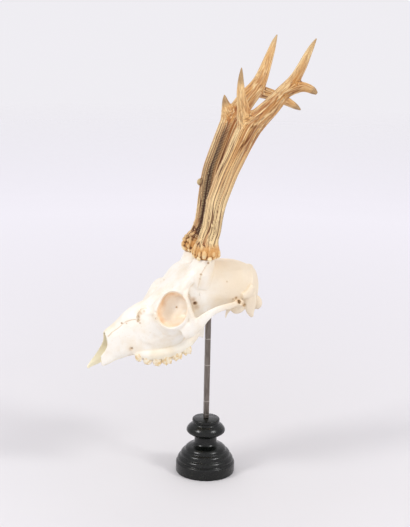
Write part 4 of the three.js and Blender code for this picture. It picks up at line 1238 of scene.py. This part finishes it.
def rubbed_antler():
    """Antler rubbed on bark: cream and golden ridges, grooves darkened with sap along the grain and brown
    tips, with painted light on the outer and front faces, painted highlights on the proud points, and painted
    shade on the faces turned to the other beam, in the channels and in the hollows.
    """
    material, tree, mm = new_material("rubbed_antler")
    groove, dark_and_shade, inner_face_shade, lit_and_pale, burr, tip, tine, relief_shade_and_wear, bead = (
        node(tree, "ShaderNodeAttribute", out="Fac", attribute_name=name)
        for name in ("groove", "dark_and_shade", "inner_face_shade", "lit_and_pale", "burr", "tip", "tine", "relief_shade_and_wear", "bead")
    )
    grain = node(tree, "ShaderNodeAttribute", out="Vector", attribute_name="grain")
    # Streaks, ridges and hairlines are spaced 3.6, 2.2 and 1.5 mm apart and run on for centimetres.
    spacings = [(1 / apart, 1 / apart, 1 / run) for apart, run in ((3.6, 90), (2.2, 120), (1.5, 110))]
    drawn_out = [
        node(tree, "ShaderNodeVectorMath", {0: grain, 1: spacing}, operation="MULTIPLY")
        for spacing in spacings
    ]
    streaks, ridges, hairs = (
        node(tree, "ShaderNodeTexNoise", {"Vector": vector, "Scale": 1, "Detail": 2}) for vector in drawn_out
    )
    middle = node(tree, "ShaderNodeMath", {0: hairs, 1: 0.5}, operation="SUBTRACT")
    hairline = node(tree, "ShaderNodeMath", {0: middle}, operation="ABSOLUTE")
    clouds = node(tree, "ShaderNodeTexNoise", {"Vector": mm, "Scale": 1 / 24, "Detail": 3})
    worn = node(tree, "ShaderNodeMath", {0: streaks, 1: lit_and_pale}, operation="SUBTRACT")
    # Some layers are painted light and shade: painted light on the outer and front faces, painted shade on
    # the faces turned to the other beam, in the channels and the hollows, and painted highlights on the proud
    # points.
    colour = layered(tree, linear("#d9a25c"), [
        (clouds, 0.4, 0.66, 0.6, "#c78a45"),
        (lit_and_pale, 0, 0.9, 0.8, "#f4dba8"),
        (streaks, 0.48, 0.66, 0.8, "#a86023"),
        (worn, 0.28, 0.6, 0.5, "#84431a"),
        (inner_face_shade, 0.1, 1, 0.55, "#b06424"),
        (ridges, 0.53, 0.62, 0.7, "#fce4b0"),
        (hairline, 0.045, 0.012, 0.8, "#6a300c"),
        (groove, 0.3, 0.85, 0.85, "#55270c"),
        (tine, 0, 1, 0.3, "#cf9856"),
        (dark_and_shade, 0.12, 0.6, 0.95, "#2e1307"),
        (burr, 0, 1, 0.8, "#d29650"),
        (relief_shade_and_wear, 0.44, 0.15, 0.5, "#f8dea6"),
        (relief_shade_and_wear, 0.56, 0.85, 0.85, "#4a210c"),
        (bead, 0, 1, 0.85, "#f6e6bc"),
        (tip, 0, 1, 0.6, "#785438"),
    ])
    height = node(tree, "ShaderNodeMath", {0: ridges, 1: streaks}, operation="ADD")
    # The handled tips are polished. The IOR stays under horn's, because the porous skin hardly shines.
    roughness = node(tree, "ShaderNodeMapRange", {0: tip, 3: 0.58, 4: 0.4})
    shade(tree, colour, roughness, height, 0.6, IOR=1.4)
    return material


def black_lacquer():
    """Turned wood under satin black paint, faintly green, with the lathe's rings just telling through."""
    material, tree, mm = new_material("satin_black_lacquer")
    rings = node(tree, "ShaderNodeVectorMath", {0: mm, 1: (0.02, 0.02, 1)}, operation="MULTIPLY")
    turned = node(tree, "ShaderNodeTexNoise", {"Vector": rings, "Scale": 1 / 0.9, "Detail": 2})
    dust = node(tree, "ShaderNodeTexNoise", {"Vector": mm, "Scale": 1 / 5, "Detail": 4, "Roughness": 0.6})
    colour = layered(tree, linear("#070907"), [(dust, 0.45, 0.75, 1, "#141712")])
    roughness = node(tree, "ShaderNodeMapRange", {0: dust, 1: 0.35, 2: 0.7, 3: 0.23, 4: 0.3})
    shade(tree, colour, roughness, turned, 0.1, IOR=1.44)
    return material


def dark_steel():
    """Square steel bar, blackened and handled: brownish grey with a few pale chips."""
    material, tree, mm = new_material("blackened_steel")
    drawn = node(tree, "ShaderNodeVectorMath", {0: mm, 1: (1, 1, 0.06)}, operation="MULTIPLY")
    lines = node(tree, "ShaderNodeTexNoise", {"Vector": drawn, "Scale": 1 / 0.7, "Detail": 3})
    flakes = node(tree, "ShaderNodeTexNoise", {"Vector": mm, "Scale": 1 / 3, "Detail": 1})
    height = node(tree, "ShaderNodeSeparateXYZ", {0: mm}, "Z")
    layers = [(lines, 0.35, 0.7, 1, "#8a817a")]
    for level in ROD_CHIPS:
        above = node(tree, "ShaderNodeMath", {0: height, 1: level}, operation="SUBTRACT")
        gap = node(tree, "ShaderNodeMath", {0: above}, operation="ABSOLUTE")
        wide = node(tree, "ShaderNodeMath", {0: gap, 1: flakes}, operation="SUBTRACT")
        layers.append((wide, 0.1, -0.2, 0.6, "#c4bdb4"))
    colour = layered(tree, linear("#655d56"), layers)
    roughness = node(tree, "ShaderNodeMapRange", {0: lines, 1: 0.3, 2: 0.7, 3: 0.34, 4: 0.5})
    shade(tree, colour, roughness, lines, 0.15, Metallic=0.75)
    return material


# ---------------------------------------------------------------- the pieces

def piece(name, mesh, material, nodes=(), place=None, sharp=42):
    """Puts a finished mesh in the scene, in metres, under the root, and hides the imported parts that it
    stands for.
    """
    if place is not None:
        mesh.transform(place)
    mesh.transform(Matrix.Scale(0.001, 4))
    mesh.name = name
    mesh.materials.clear()
    mesh.materials.append(material)
    mesh.shade_smooth()
    if sharp:
        mesh.set_sharp_from_angle(angle=math.radians(sharp))
    made = bpy.data.objects.new(name, mesh)
    bpy.context.scene.collection.objects.link(made)
    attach(made, "root")
    if nodes:
        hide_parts(*nodes)
    return made


bone, enamel, horn = bleached_bone(), tooth_enamel(), rubbed_antler()

for bone_name, bone_mesh in parted_bones(whole_skull()):
    bone_colouring(bone_mesh)
    piece(bone_name + "_bone", bone_mesh, bone, [bone_name], SKULL_PLACE)

for side, word in SIDES:
    piece("cheek_teeth_" + word, tooth_row(side), enamel, place=SKULL_PLACE, sharp=60)
    parts = ["antler_%s_%s" % (word, part) for part in ("beam", "front_tine", "top", "back_tine")]
    piece("antler_" + word, antler(word, side), horn, parts, sharp=0)

piece("turned_foot", turned_foot(), black_lacquer(), ["stand_foot"], sharp=50)
piece("square_rod", square_rod(), dark_steel(), ["stand_rod"], sharp=30)


# ---------------------------------------------------------------- studio

def floor():
    """A pale paper floor, painted darker round the foot as painted shade and brighter and cooler away from it
    as painted light, that fades into the white room.
    """
    bm = bmesh.new()
    bmesh.ops.create_grid(bm, x_segments=1, y_segments=1, size=30)
    mesh = mesh_from(bm, "paper_floor")
    material, tree, mm = new_material("pale_paper")
    away = node(tree, "ShaderNodeVectorMath", {0: mm}, "Value", operation="LENGTH")
    # Painted shade near the foot, painted light far from it.
    colour = layered(tree, linear("#dcdadb"), [(away, 150, 1400, 1, "#f7f5fa")])
    paper = node(tree, "ShaderNodeBsdfPrincipled", {"Base Color": colour, "Roughness": 0.9})
    gone = node(tree, "ShaderNodeMapRange", {0: away, 1: 1600, 2: 3400})
    faded = node(tree, "ShaderNodeMixShader", {0: gone, 1: paper, 2: node(tree, "ShaderNodeBsdfTransparent")})
    node(tree, "ShaderNodeOutputMaterial", {"Surface": faded})
    mesh.materials.append(material)
    made = bpy.data.objects.new("paper_floor", mesh)
    bpy.context.scene.collection.objects.link(made)


def soft_light(name, where, size, power, towards=(0, 0, 0.22)):
    lamp = bpy.data.lights.new(name, "AREA")
    lamp.size = size
    lamp.energy = power
    made = bpy.data.objects.new(name, lamp)
    made.location = where
    made.rotation_euler = (Vector(towards) - Vector(where)).to_track_quat("-Z", "Y").to_euler()
    bpy.context.scene.collection.objects.link(made)


def white_room():
    """A white room all round, brighter in front and behind than at the sides."""
    world = bpy.data.worlds.new("white_room")
    world.use_nodes = True
    tree = world.node_tree
    tree.nodes.clear()
    facing = node(tree, "ShaderNodeTexCoord", out="Generated")
    ahead = (-0.95, 0.31, 0)
    depth = node(tree, "ShaderNodeVectorMath", {0: facing, 1: ahead}, "Value", operation="DOT_PRODUCT")
    nearness = node(tree, "ShaderNodeMath", {0: depth}, operation="ABSOLUTE")
    strength = node(tree, "ShaderNodeMapRange", {0: nearness, 1: 0.4, 2: 0.9, 3: 0.68, 4: 0.89})
    room = node(tree, "ShaderNodeBackground", {"Color": linear("#fcfaff"), "Strength": strength})
    node(tree, "ShaderNodeOutputWorld", {"Surface": room})
    bpy.context.scene.world = world


def camera():
    lens = bpy.data.cameras.new("camera")
    lens.lens = 86.4137
    lens.sensor_width = 36
    made = bpy.data.objects.new("camera", lens)
    made.location = (1.2348902, -0.4062872, 0.5560001)
    made.rotation_euler = [math.radians(angle) for angle in (76.0968, -1.2134, 72.3003)]
    bpy.context.scene.collection.objects.link(made)
    bpy.context.scene.camera = made


floor()
soft_light("softbox_left", (0.288, -1.38, 1.49), 0.42, 11.8)
soft_light("softbox_right", (1.051, 0.94, 1.49), 0.42, 11.8)
soft_light("floor_light", (-2.3, 0.75, 2.4), 3, 12.5, towards=(-2.3, 0.75, 0))
white_room()
camera()
bpy.context.scene.view_settings.view_transform = "Standard"
